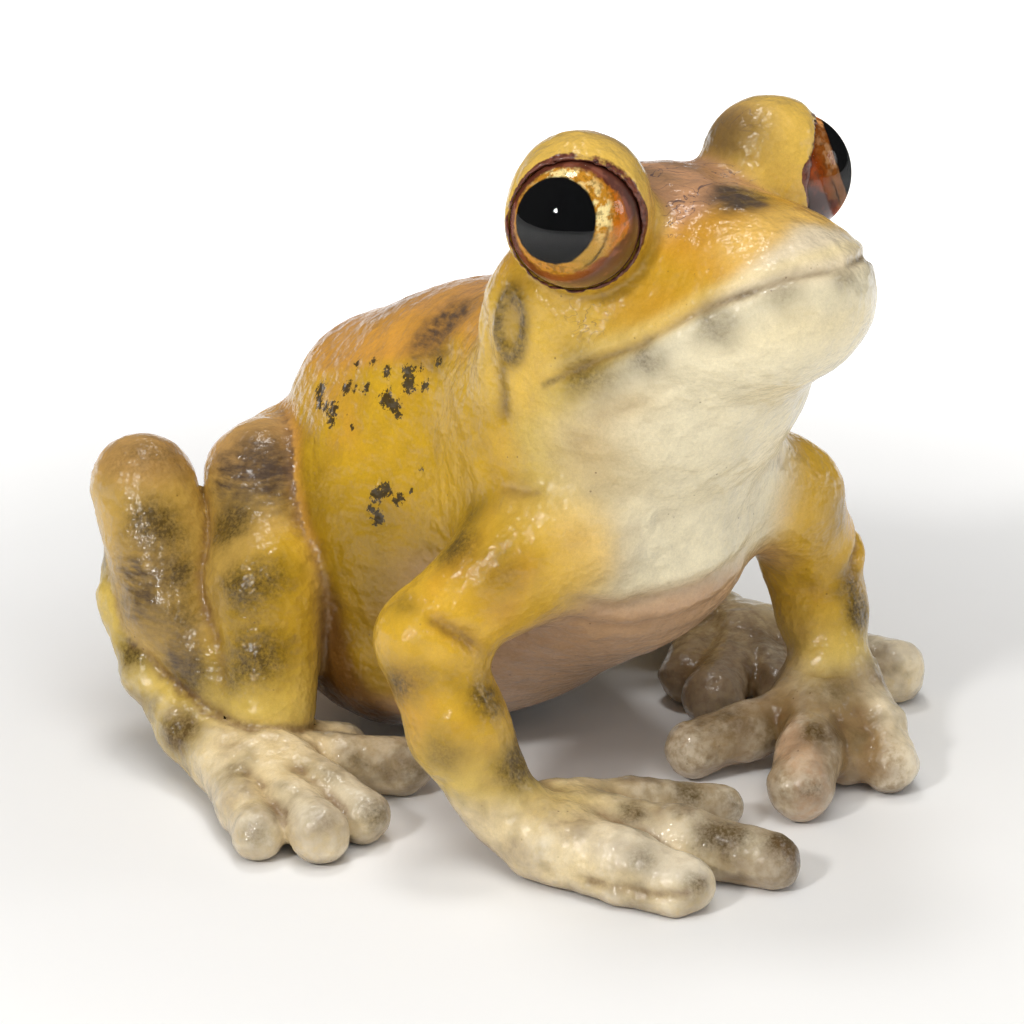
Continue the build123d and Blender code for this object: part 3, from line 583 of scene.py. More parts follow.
def paint_skin():
    x, y, z = V0.T
    ax = np.abs(x)
    blur = fractal(V0 / 5.0, 40) * 0.5
    n = average(N, E_, 10)
    n = n / np.linalg.norm(n, axis=1)[:, None]
    c = np.tile(OCHRE, (len(V0), 1))
    # body
    body = home == TORSO
    # olive over the whole body, more of it towards the bottom of the flank: partly the frog's own olive, partly
    # painted shade
    t = mixc(c, OLIVE, 0.75 * ramp(-z, -44, -26) + 0.25 + 0.3 * blur)
    t = mixc(t, AMBER, ramp(n[:, 2] + 0.12 * blur, 0.30, 0.72) * ramp(y, -8, 2))
    t = mixc(t, ROSE, 0.55 * ramp(n[:, 2] + 0.2 * blur, 0.75, 0.98) * ramp(y, 2, 12))
    t = mixc(t, BEIGE, ramp(-n[:, 2] + 0.1 * blur, 0.08, 0.5))
    front = ramp(-y + 1.6 * blur, 13.0, 25.0) * ramp(-z, -78, -60)
    t = mixc(t, rgb(200, 176, 92), ramp(-y + 1.6 * blur, 9.0, 14.0) * ramp(-z, -78, -60) * 0.7)
    t = mixc(t, CREAM, front)
    t = mixc(t, BEIGE, ramp(-z + 0.8 * blur, -33, -28) * ramp(-y, -12, 4))
    # dark brown low on the belly under the thighs: painted shadow
    t = mixc(t, rgb(92, 60, 20), ramp(y + 0.45 * (24 - z) + 1.5 * blur, 15.5, 19.5) * ramp(-z, -31, -24) * ramp(-y, -34, -26))
    # darker olive patches under the jaws and in the crease above the near shoulder: painted shade
    t = mixc(t, rgb(180, 156, 104), np.exp(-((V0 - (-15.5, -20.0, 46.5)) ** 2 / (30.0, 40.0, 30.0)).sum(1)) * 0.7)
    for s in (-1, 1):
        under_jaw_shade = np.exp(-((V0 - (s * 17.0, -21.0, 52.5)) ** 2 / (20.0, 22.0, 26.0)).sum(1)) + 0.8 * np.exp(-((V0 - (s * 15.5, -25.0, 57.5)) ** 2 / (16.0, 16.0, 10.0)).sum(1))
        t = mixc(t, rgb(172, 144, 88), under_jaw_shade * (0.62 + 0.5 * blur))
    t = mixc(t, rgb(150, 116, 66), np.exp(-((V0 - (-20.5, -12.5, 43.0)) ** 2).sum(1) / 9.0) * 0.6)
    # head
    order = np.array(MOUTH)[::-1]
    zm = np.interp(y, order[:, 1], order[:, 2])
    hm = z - zm
    head = ramp(hm + 1.2 * blur, -6.5, -2.5) * ramp(-y, 1.0, 6.0)
    h = mixc(np.tile(rgb(190, 150, 40), (len(V0), 1)), rgb(188, 136, 36), ramp(n[:, 2] + 0.2 * blur, 0.25, 0.8))
    h = mixc(h, rgb(214, 176, 70), ramp(-z, -70, -62) * 0.6)
    crown = ramp(n[:, 2] + 0.1 * blur, 0.55, 0.85) * ramp(y + 1.5 * blur, -27.5, -25.2) * (ax < 14)
    # paler yellow on the upward faces at the front of the snout: partly paler paint, partly painted highlight
    h = mixc(h, rgb(222, 182, 96), ramp(n[:, 2], 0.55, 0.85) * ramp(-y, 29, 34) * 0.7)
    h = mixc(h, ROSE, crown)
    edge = np.interp(ax, [0, 2, 9.5, 13.5, 16.5, 20], [6.2, 5.6, 3.0, -0.4, -2.5, -4.0])
    lip = ramp(edge - hm + 0.6 * blur, -1.3, 1.3) * ramp(-y, 13, 19)
    h = mixc(h, LIP, lip)
    under = ramp(-hm, -0.3, 0.8)
    h = mixc(h, rgb(196, 170, 88), under * ramp(-y, 12, 18) * 0.8)
    h = mixc(h, CREAM * 0.84, under * ramp(-y + 1.2 * blur + 0.7 * (-hm), 21, 30))
    snout = ramp(-y, 33, 39)
    h = mixc(h, rgb(216, 200, 170), snout * ramp(hm, -2, 1) * lip)
    # a light line on the ridge just above the mouth: painted highlight
    h = mixc(h, rgb(230, 208, 140), np.exp(-((hm - 1.7) / 0.75) ** 2) * 0.45 * ramp(-y, 14, 19))
    t = mixc(t, h, head)
    # brow rolls: paler yellow on top of each, partly paint and partly painted highlight; dark brown on the inner side
    # of each, painted shade
    for s in (-1, 1):
        e = np.linalg.norm(V0 - EYES[s], axis=1) - EYE_R
        roll = ramp(-e, -4.4, -2.6) * ramp(z + 0.2 * (-y), 78, 81)
        t = mixc(t, rgb(212, 174, 78), roll * 0.9)
        inner = ramp(-(x * s), -14.5, -10.2) * (np.abs(x - s * 17.7) < 16) * ramp(z, 77, 80) * ramp(y, -26, -17)
        t = mixc(t, rgb(104, 80, 44), inner * 0.9)
    c = np.where(body[:, None], t, c)
    # arms
    for g, low_z, high_z in ((ARM_R, 8.5, 15.5), (ARM_L, 11.5, 17)):
        m = home == g
        a = mixc(np.tile(rgb(206, 162, 42), (len(V0), 1)), rgb(205, 148, 40), 0.5 * ramp(blur, 0.0, 0.6))
        a = mixc(a, STRAW, ramp(-z, -high_z - 5, -low_z) * 0.8)
        a = mixc(a, HAND, ramp(-z + blur, -low_z - 2.5, -low_z + 1.5))
        if g == ARM_R:
            # paler cream on the upward faces of the near hand (this line and the one two below): partly paint, partly
            # painted highlight
            a = mixc(a, rgb(226, 212, 184), ramp(-y, 22, 36) * ramp(-x, 12, 19) * ramp(n[:, 2], 0.1, 0.7))
            a = mixc(a, rgb(168, 146, 108), ramp(-y, 18, 24) * ramp(x, -17, -13))
            a = mixc(a, rgb(212, 196, 164), ramp(-y, 32, 36) * ramp(x, -17, -13) * ramp(n[:, 2], 0.2, 0.8))
        else:
            # darker brown low on the far hand: painted shade
            a = mixc(a, rgb(136, 108, 68), ramp(-z, -14, -9) * 0.9)
            a = mixc(a, rgb(222, 204, 168), ramp(x - 0.3 * y, 30.5, 33.5) * ramp(-z, -15, -9))
            a = mixc(a, rgb(196, 158, 122), ramp(-np.abs(x - 0.55 * y - 25.5), -3.5, -1.5) * ramp(-y, 25, 28))
        a = mixc(a, BEIGE, ramp(-n[:, 2], 0.45, 0.9) * 0.6)
        root_w = ramp(own[:, TORSO] - own[:, g], -1.0, 5.5)
        a = mixc(t, a, root_w)
        c = np.where(m[:, None], a, c)
    # legs
    for g, s, dx, dy in ((LEG_R, -1, 0, 0), (LEG_L, 1, 3, 10)):
        m = home == g
        yy = y + dy
        a = mixc(np.tile(rgb(204, 162, 40), (len(V0), 1)), rgb(216, 186, 92), ramp(-z, -20, -8))
        a = mixc(a, rgb(196, 150, 98), ramp(z, 33.5, 38) * 0.9)
        shank = ramp(yy + 0.25 * (z - 9), 27, 30)
        a = mixc(a, rgb(202, 164, 88), shank * 0.7)
        a = mixc(a, rgb(206, 160, 92), shank * ramp(z, 33, 38))
        a = mixc(a, BEIGE, ramp(-(x * s), -27, -20) * ramp(-z, -32, -24) * 0.8)
        a = mixc(t, a, ramp(own[:, TORSO] - own[:, g], -0.6, 1.2))
        c = np.where(m[:, None], a, c)
    for g, dy in ((FOOT_R, 0), (FOOT_L, 10)):
        m = home == g
        yy = y + dy
        a = mixc(np.tile(rgb(208, 178, 88), (len(V0), 1)), TOE, ramp(-yy + blur, -28, -18))
        # paler on the upward faces of the front toes: partly paint, partly painted highlight
        a = mixc(a, rgb(220, 208, 182), ramp(-yy, -9, 0) * ramp(n[:, 2], 0.2, 0.8) * 0.7)
        a = mixc(a, rgb(176, 152, 112), ramp(x if g == FOOT_R else -x, -32, -26) * ramp(-yy, -20, -10) * 0.8)
        c = np.where(m[:, None], a, c)
    # soft joins between neighbouring castings
    for _ in range(1):
        c = average(c, E_, 5)
    return c


def masks():
    p = V0 + 0.5 * np.stack([value_noise(V0 / 1.6, 50 + i) for i in range(3)], 1)
    arm = np.isin(home, (ARM_R, TORSO))
    stain_and_fold_shade = np.zeros(len(V0))
    near = lambda m, table, grow=1.0: np.where(m, spots(p, table, grow), 0)
    stain_and_fold_shade = np.maximum(stain_and_fold_shade, near(arm | (home == ARM_R), BANDS_ARM + HAND_RIGHT, 1.7))
    stain_and_fold_shade = np.maximum(stain_and_fold_shade, near(home == ARM_L, flip(BANDS_ARM, 0, -8, -3.5) + HAND_LEFT, 1.6))
    stain_and_fold_shade = np.maximum(stain_and_fold_shade, near(np.isin(home, (LEG_R,)), BANDS_LEG, 1.85))
    stain_and_fold_shade = np.maximum(stain_and_fold_shade, near(np.isin(home, (LEG_L,)), flip(BANDS_LEG, 3, -10, 0), 1.85))
    stain_and_fold_shade = np.maximum(stain_and_fold_shade, near(np.isin(home, (FOOT_R,)), BANDS_FOOT, 1.45))
    stain_and_fold_shade = np.maximum(stain_and_fold_shade, near(np.isin(home, (FOOT_L,)), flip(BANDS_FOOT, 3, -10, 0), 1.45))
    jaw = near(home == TORSO, JAW + flip(JAW) + SNOUT, 1.35) * 0.95
    stain_and_fold_shade = np.maximum(stain_and_fold_shade, jaw)
    # ear drum: olive rim, and below it a dark streak down the neck fold, painted shade
    for s in (-1, 1):
        q = V0 - (s * 20.3, -11.3, 63.3)
        r = np.hypot((q[:, 2] - 0.12 * q[:, 1]) / 3.8, q[:, 1] / 2.0)
        m = (np.abs(V0[:, 0]) > 14) & (home == TORSO)
        stain_and_fold_shade = np.maximum(stain_and_fold_shade, m * (0.8 * np.exp(-((r - 1.0) / 0.36) ** 2) + 0.35 * (r < 0.8)))
        line, _t = line_distance(V0, [(s * 20.6, -10.6, 59.5), (s * 20.1, -9.6, 56.6), (s * 20.0, -9.6, 52.7)])
        stain_and_fold_shade = np.maximum(stain_and_fold_shade, m * 0.6 * np.exp(-(line / 1.1) ** 2))
        mouth, t = line_distance(V0, MOUTH if s < 0 else flip(MOUTH))
        stain_and_fold_shade = np.maximum(stain_and_fold_shade, m * 0 + (home == TORSO) * 0.8 * np.exp(-(mouth / 0.5) ** 2) * (0.55 + 0.45 * value_noise(V0 / 2.5, 60)))
    dusk = np.zeros(len(V0))
    dusk = np.maximum(dusk, near(home == LEG_R, DUSK_LEG, 1.6))
    dusk = np.maximum(dusk, near(home == LEG_L, flip(DUSK_LEG, 3, -10, 0), 1.6))
    dusk = np.maximum(dusk, near(home == TORSO, BACK + flip(BACK) + BACK_MORE + SNOUT, 1.5))
    dab = np.zeros(len(V0))
    for x, y, z, r in DABS + flip(DABS):
        d = np.linalg.norm(V0 - (x, y, z), axis=1)
        dab = np.maximum(dab, np.clip(1.0 - d / (3.6 * r), 0, 1))
    # painted shade: darker in hollows and creases (less on the torso), on the undersides of hands and feet, over most
    # of the far hind foot and along the elbow and finger creases; with it goes a random brown mottle on hands and feet
    shade_and_mottle = np.clip(cave * 5.0, 0, 1) * 0.8 + np.clip(hollow * 0.55 - 0.08, 0, 1) * 0.6
    hands = np.isin(home, (FOOT_R, FOOT_L)) * ramp(-V0[:, 2], -16, -9) + (home == ARM_R) * ramp(-V0[:, 2], -12, -8) + (home == ARM_L) * ramp(-V0[:, 2], -15, -11)
    mottle = np.clip(fractal(V0 / 4.4, 120, 4) * 0.9 + 0.12, 0, 1) * hands
    shade_and_mottle = np.where(home == TORSO, shade_and_mottle * 0.45, shade_and_mottle)
    shade_and_mottle = np.maximum(shade_and_mottle, mottle * 0.5)
    shade_and_mottle = np.maximum(shade_and_mottle, hands * 0.5 * ramp(-N[:, 2], 0.1, 0.8))
    shade = (home == FOOT_L) * ramp(-V0[:, 0], -40.5, -36)
    shade_and_mottle = np.maximum(shade_and_mottle, shade * 0.85)
    stain_and_fold_shade = np.maximum(stain_and_fold_shade, np.clip(fractal(V0 / 4.6, 130) - 0.12, 0, 1) * hands * 0.6)
    shade_and_mottle = np.maximum(shade_and_mottle, np.clip(hollow * 1.2 - 0.08, 0, 1) * np.clip(hands * 1.5, 0, 1))
    for pts, w in ((ELBOW, 1.1), (flip(ELBOW, 0, -8, -4), 1.1), (FINGER, 0.6)):
        r, t = line_distance(V0, [q[:3] for q in pts])
        shade_and_mottle = np.maximum(shade_and_mottle, 0.9 * np.exp(-(r / w) ** 2) * ramp(t, 0.0, 0.25))
    rim = np.zeros(len(V0))
    for s in (-1, 1):
        q = V0 - EYES[s]
        h = q @ LID[s]
        flat = np.sqrt(np.maximum((q * q).sum(1) - h * h, 0))
        ring = np.hypot(flat - 7.72, h - LID_RISE) + 0.06 * value_noise(V0 / 1.4, 80)
        front = np.exp(-((V0 - CORNER[s]) ** 2).sum(1) / 1.6 ** 2)
        rim = np.maximum(rim, ramp(-ring, -0.86 - 1.1 * front, -0.5 - 1.1 * front))
        inside = (np.linalg.norm(q, axis=1) < EYE_R + 0.35) & (h < LID_RISE + 0.3)
        rim = np.maximum(rim, inside)
    # the first mask below: paler paint and painted highlight on the raised parts of hands and feet
    return dict(drybrush_and_highlight=np.clip(-hollow * 0.9, 0, 1) * np.clip(hands, 0, 1), stain_and_fold_shade=np.clip(stain_and_fold_shade * 1.12, 0, 1), dusk=np.clip(dusk, 0, 1), dab=dab, shade_and_mottle=np.clip(shade_and_mottle, 0, 1), rim=rim)


COLOUR = paint_skin()
MASKS = masks()
clear = np.minimum(*[np.linalg.norm(V0 - EYES[s], axis=1) - EYE_R for s in (-1, 1)])
MASKS["crown"] = ramp(N[:, 2], 0.5, 0.8) * ramp(V0[:, 1], -27.5, -25.5) * ramp(-V0[:, 1], 2, 8) * (V0[:, 2] > 74) * (home == TORSO) * ramp(clear, 2.2, 3.6)
for s in (-1, 1):
    MASKS["crown"] = np.maximum(MASKS["crown"], 0.7 * np.exp(-((V0 - (s * 17.2, -20.0, 65.5)) ** 2).sum(1) / 7.0))
MASKS.pop("rim")

# ------------------------------------------------------------------ materials


def new_material(name):
    m = bpy.data.materials.new(name)
    m.use_nodes = True
    m.node_tree.nodes.clear()
    return m, m.node_tree.nodes, m.node_tree.links


class Net:
    """Short names for building a node tree."""

    def __init__(s, name):
        s.m, s.n, s.l = new_material(name)

    def node(s, kind, **values):
        n = s.n.new(kind)
        for k, v in values.items():
            setattr(n, k, v)
        return n

    def put(s, socket, value):
        if isinstance(value, bpy.types.NodeSocket):
            s.l.new(value, socket)
        elif value is not None:
            socket.default_value = value

    def coords(s, scale=(1, 1, 1)):
        t = s.node("ShaderNodeTexCoord")
        m = s.node("ShaderNodeMapping")
        s.l.new(t.outputs["Object"], m.inputs["Vector"])
        m.inputs["Scale"].default_value = scale
        return m.outputs[0]

    def noise(s, scale, detail=3.0, rough=0.5, vector=None, kind="Fac", distort=0.0):
        n = s.node("ShaderNodeTexNoise")
        n.inputs["Scale"].default_value = scale
        n.inputs["Detail"].default_value = detail
        n.inputs["Roughness"].default_value = rough
        n.inputs["Distortion"].default_value = distort
        s.put(n.inputs["Vector"], vector if vector is not None else s.coords())
        return n.outputs[0] if kind == "Fac" else n.outputs[1]

    def cells(s, scale, feature="F1", vector=None):
        n = s.node("ShaderNodeTexVoronoi", feature=feature)
        n.inputs["Scale"].default_value = scale
        s.put(n.inputs["Vector"], vector if vector is not None else s.coords())
        return n.outputs["Distance"]

    def attr(s, name, colour=False):
        n = s.node("ShaderNodeAttribute", attribute_type="GEOMETRY", attribute_name=name)
        return n.outputs["Color"] if colour else n.outputs["Fac"]

    def vector(s, op, a, b=None):
        n = s.node("ShaderNodeVectorMath", operation=op)
        s.put(n.inputs[0], a)
        if b is not None:
            s.put(n.inputs[1], b)
        return n.outputs["Value" if op in ("LENGTH", "DOT_PRODUCT") else "Vector"]

    def math(s, op, a, b=None, c=None, clamp=False):
        n = s.node("ShaderNodeMath", operation=op, use_clamp=clamp)
        for i, v in enumerate((a, b, c)):
            if v is not None:
                s.put(n.inputs[i], v)
        return n.outputs[0]

    def fit(s, value, a, b, lo=0.0, hi=1.0, smooth=False):
        n = s.node("ShaderNodeMapRange", interpolation_type="SMOOTHSTEP" if smooth else "LINEAR")
        s.put(n.inputs["Value"], value)
        for k, v in (("From Min", a), ("From Max", b), ("To Min", lo), ("To Max", hi)):
            n.inputs[k].default_value = v
        return n.outputs[0]

    def mix(s, fac, a, b, blend="MIX"):
        n = s.node("ShaderNodeMix", data_type="RGBA", blend_type=blend)
        s.put(n.inputs[0], fac)
        for socket, v in ((n.inputs[6], a), (n.inputs[7], b)):
            s.put(socket, tuple(v) + (1.0,) if not isinstance(v, bpy.types.NodeSocket) and len(v) == 3 else v)
        return n.outputs[2]

    def bump(s, height, strength, distance, normal=None, invert=False):
        n = s.node("ShaderNodeBump", invert=invert)
        n.inputs["Strength"].default_value = strength
        n.inputs["Distance"].default_value = distance
        s.put(n.inputs["Height"], height)
        if normal is not None:
            s.put(n.inputs["Normal"], normal)
        return n.outputs[0]

    def surface(s, **inputs):
        b = s.node("ShaderNodeBsdfPrincipled")
        for k, v in inputs.items():
            s.put(b.inputs[k.replace("_", " ")], v)
        o = s.node("ShaderNodeOutputMaterial")
        s.l.new(b.outputs[0], o.inputs[0])
        return b


def col(*c):
    return tuple(float(v) for v in rgb(*c))


def skin_material(name):
    """Airbrushed and dabbed acrylic under a brushed clear varnish, with painted shade and highlights in its colour."""
    t = Net(name)
    broad = t.noise(230, 4, 0.55)
    fine = t.noise(2600, 3, 0.6)
    grain = t.noise(7000, 2, 0.7)
    blots = t.noise(900, 4, 0.6)
    base = t.attr("paint", True)
    tone = t.math("ADD", t.fit(broad, 0.3, 0.7, 0.90, 1.08), t.fit(fine, 0.3, 0.7, -0.06, 0.06))
    tone = t.math("ADD", tone, t.fit(grain, 0.3, 0.7, -0.07, 0.05))
    g = t.node("ShaderNodeCombineColor")
    for i in range(3):
        t.put(g.inputs[i], tone)
    c = t.mix(1.0, base, g.outputs[0], "MULTIPLY")
    # fine pinholes and dust specks in the varnish
    speck = t.fit(t.cells(620), 0.10, 0.055, 0, 1)
    speck = t.math("MULTIPLY", speck, t.fit(t.noise(160, 2), 0.55, 0.62, 0, 0.8))
    # airbrushed bands and spots, softly grained, and the painted shade of the neck folds under the ear drums
    stain_and_fold_shade = t.math("MULTIPLY", t.attr("stain_and_fold_shade"), t.fit(fine, 0.25, 0.75, 0.70, 1.25))
    stain_and_fold_shade = t.math("ADD", stain_and_fold_shade, t.math("MULTIPLY", t.math("MULTIPLY", t.attr("stain_and_fold_shade"), -0.14), t.fit(blots, 0.45, 0.65, 0, 1)), clamp=True)
    # paler paint and painted highlight on the raised parts of hands and feet
    c = t.mix(t.math("MULTIPLY", t.attr("drybrush_and_highlight"), t.fit(blots, 0.35, 0.6, 0.25, 0.9)), c, col(236, 224, 200))
    c = t.mix(t.math("MULTIPLY", stain_and_fold_shade, 0.95), c, col(70, 52, 8))
    dusk = t.math("MULTIPLY", t.attr("dusk"), t.fit(t.noise(420, 4, 0.65, t.coords((1, 1, 3.5))), 0.3, 0.7, 0.45, 1.3), clamp=True)
    c = t.mix(t.math("MULTIPLY", dusk, 0.93), c, col(64, 50, 42))
    # painted shade: brown in the hollows, creases and undersides, with random brown mottle on hands and feet
    shade_and_mottle = t.math("MULTIPLY", t.attr("shade_and_mottle"), t.fit(blots, 0.3, 0.7, 0.55, 1.3), clamp=True)
    c = t.mix(t.math("MULTIPLY", shade_and_mottle, 0.72), c, col(104, 70, 34))
    # scribbled dark hairlines on the crown
    line = t.node("ShaderNodeTexNoise")
    line.inputs["Scale"].default_value = 210
    line.inputs["Detail"].default_value = 3
    line.inputs["Distortion"].default_value = 1.2
    t.put(line.inputs["Vector"], t.coords((1, 1, 1)))
    thread = t.math("ABSOLUTE", t.math("SUBTRACT", line.outputs[0], 0.5))
    thread = t.math("MULTIPLY", t.fit(thread, 0.011, 0.002, 0, 0.85), t.attr("crown"))
    c = t.mix(thread, c, col(70, 56, 62))
    # ragged brush dabs
    dab = t.math("ADD", t.attr("dab"), t.fit(t.noise(1900, 4, 0.7), 0.3, 0.7, -0.32, 0.30))
    dab = t.fit(dab, 0.56, 0.64, 0, 1)
    c = t.mix(t.math("MULTIPLY", dab, 0.92), c, col(34, 26, 12))
    c = t.mix(t.math("MULTIPLY", speck, 0.75), c, col(86, 58, 26))
    # dark brown line on each lid's edge, and everything behind it in the socket painted dark as painted shade
    rim = None
    for s in (-1, 1):
        at = t.vector("SUBTRACT", t.coords(), tuple((EYES[s] + SHIFT) / 1000.0))
        up = t.vector("DOT_PRODUCT", at, tuple(LID[s]))
        long = t.vector("LENGTH", at)
        flat = t.math("SQRT", t.math("SUBTRACT", t.math("MULTIPLY", long, long), t.math("MULTIPLY", up, up)))
        a, b = t.math("SUBTRACT", flat, 0.00745), t.math("SUBTRACT", up, LID_RISE / 1000.0)
        ring = t.math("SQRT", t.math("ADD", t.math("MULTIPLY", a, a), t.math("MULTIPLY", b, b)))
        ring = t.math("ADD", ring, t.fit(blots, 0.3, 0.7, -0.00012, 0.00012))
        front = t.vector("LENGTH", t.vector("SUBTRACT", t.coords(), tuple((np.array(CORNER[s]) + SHIFT) / 1000.0)))
        ring = t.math("SUBTRACT", ring, t.fit(front, 0.0026, 0.0, 0.0, 0.0010, True))
        edge = t.fit(ring, 0.00066 if s < 0 else 0.0005, 0.00048 if s < 0 else 0.00036, 0, 1)
        inside = t.fit(t.math("ADD", long, t.fit(blots, 0.3, 0.7, -0.00008, 0.00008)), 0.00783, 0.00768)
        inside = t.math("MULTIPLY", inside, t.math("GREATER_THAN", up, 0.0010))
        edge = t.math("MAXIMUM", edge, inside)
        rim = edge if rim is None else t.math("MAXIMUM", rim, edge)
    c = t.mix(rim, c, t.mix(t.fit(fine, 0.35, 0.65, 0, 1), col(70, 32, 20), col(112, 60, 42)))
    # varnish: brushed strokes, fine orange peel, pooled drops
    stroke = t.noise(170, 4, 0.6, t.coords((1, 1, 7)))
    peel = t.noise(1050, 3, 0.55)
    lumps = t.noise(430, 2, 0.5)
    n1 = t.bump(lumps, 0.48, 0.0012)
    n2 = t.bump(peel, 0.46, 0.0004, n1)
    n3 = t.bump(stroke, 0.22, 0.0009, n2)
    under = t.bump(fine, 0.25, 0.00012, n1)
    rough = t.fit(blots, 0.3, 0.7, 0.34, 0.52)
    b = t.surface(Base_Color=c, Roughness=rough, Normal=under, Coat_Weight=0.72, Coat_Roughness=t.fit(broad, 0.3, 0.7, 0.04, 0.12), Coat_IOR=1.45, Coat_Normal=n3, Specular_IOR_Level=0.25)
    b.inputs["Subsurface Weight"].default_value = 0.0
    return t.m


# ------------------------------------------------------------------ pieces


def add_mesh(name, verts, faces, normals=None, fields=None, colour=None):
    me = bpy.data.meshes.new(name)
    me.from_pydata(((verts + SHIFT) / 1000.0).tolist(), [], faces)
    me.polygons.foreach_set("use_smooth", np.ones(len(me.polygons), bool))
    for key, values in (fields or {}).items():
        a = me.attributes.new(key, "FLOAT", "POINT")
        a.data.foreach_set("value", values.astype(np.float32))
    if colour is not None:
        a = me.attributes.new("paint", "FLOAT_COLOR", "POINT")
        a.data.foreach_set("color", np.concatenate([np.clip(colour, 0, 1), np.ones((len(colour), 1))], 1).astype(np.float32).ravel())
    me.update()
    if normals is not None:
        me.normals_split_custom_set_from_vertices(normals.tolist())
    ob = bpy.data.objects.new(name, me)
    bpy.context.scene.collection.objects.link(ob)
    return ob


SKINS = {s: skin_material(s) for s in ("painted_body", "painted_limb", "painted_foot")}
SLOT = ["painted_body", "painted_limb", "painted_limb", "painted_limb", "painted_limb", "painted_foot", "painted_foot"]
face_own = own[Q].mean(1)
face_home = face_own.argmin(1)
# islands of a few faces go back to the casting round them
for _ in range(4):
    vote = np.zeros((len(V), 7))
    for j in range(4):
        np.add.at(vote, (Q[:, j], face_home), 1)
    face_home = (vote[Q].sum(1) + np.eye(7)[face_home] * 2).argmax(1)

for g, (name, _ops, _k) in enumerate(GROUPS):
    faces = Q[face_home == g]
    used = np.unique(faces)
    remap = np.full(len(V), -1)
    remap[used] = np.arange(len(used))
    local = remap[faces]
    verts = V[used]
    # close the joint: a fan from each open rim to a point inside
    e = np.concatenate([local[:, [0, 1]], local[:, [1, 2]], local[:, [2, 3]], local[:, [3, 0]]])
    both, back, count = np.unique(np.sort(e, 1), axis=0, return_inverse=True, return_counts=True)
    rim = e[count[back.ravel()] == 1]
    label = {int(i): int(i) for i in np.unique(rim)}

    def root(i):
        while label[i] != i:
            label[i] = label[label[i]]
            i = label[i]
        return i

    for a, b in rim.tolist():
        ra, rb = root(a), root(b)
        if ra != rb:
            label[ra] = rb
    centres, extra, caps = {}, [], []
    for r in sorted({root(int(i)) for i in label}):
        members = [i for i in label if root(i) == r]
        middle = verts[members].mean(0) - 0.6 * N[used[members]].mean(0)
        centres[r] = len(verts) + len(extra)
        extra.append(middle)
    for a, b in rim.tolist():
        caps.append((b, a, centres[root(a)]))
    allv = np.concatenate([verts, np.array(extra)]) if extra else verts
    pad = lambda arr: np.concatenate([arr, np.repeat(arr[:1], len(extra), 0)]) if extra else arr
    fields = {k: pad(v[used]) for k, v in MASKS.items()}
    ob = add_mesh("skin_" + name, allv, local.tolist() + caps, pad(N[used]), fields, pad(COLOUR[used]))
    ob.data.materials.append(SKINS[SLOT[g]])
    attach(ob, "root")
    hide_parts(name)

# ------------------------------------------------------------------ eyes

AZ, EL = math.radians(-45), math.radians(20)
BACK_DIR = np.array([math.sin(AZ) * math.cos(EL), -math.cos(AZ) * math.cos(EL), math.sin(EL)])
GAZE = {"right": (-0.886, -0.332, 0.270), "left": (0.665, -0.665, 0.342)}


def polar_ball(centre, axis, radii, angles, around):
    """A ball meshed in rings about its axis; returns points, faces, ring angle and turn angle."""
    axis = np.array(axis, float) / np.linalg.norm(axis)
    up = np.array([0, 0, 1.0]) - axis[2] * axis
    up /= np.linalg.norm(up)
    side = np.cross(up, axis)
    pts, th, ph = [centre + axis * radii[0]], [0.0], [0.0]
    turn = np.linspace(0, 2 * np.pi, around, endpoint=False)
    for a, r in zip(angles, radii[1:]):
        ring = np.cos(a) * axis + np.sin(a) * (np.cos(turn)[:, None] * side + np.sin(turn)[:, None] * up)
        pts.extend(centre + r * ring)
        th.extend([a] * around)
        ph.extend(turn)
    faces = [(0, 1 + j, 1 + (j + 1) % around) for j in range(around)]
    for i in range(len(angles) - 1):
        a, b = 1 + i * around, 1 + (i + 1) * around
        faces += [(a + j, b + j, b + (j + 1) % around, a + (j + 1) % around) for j in range(around)]
    return np.array(pts), faces, np.array(th), np.array(ph)


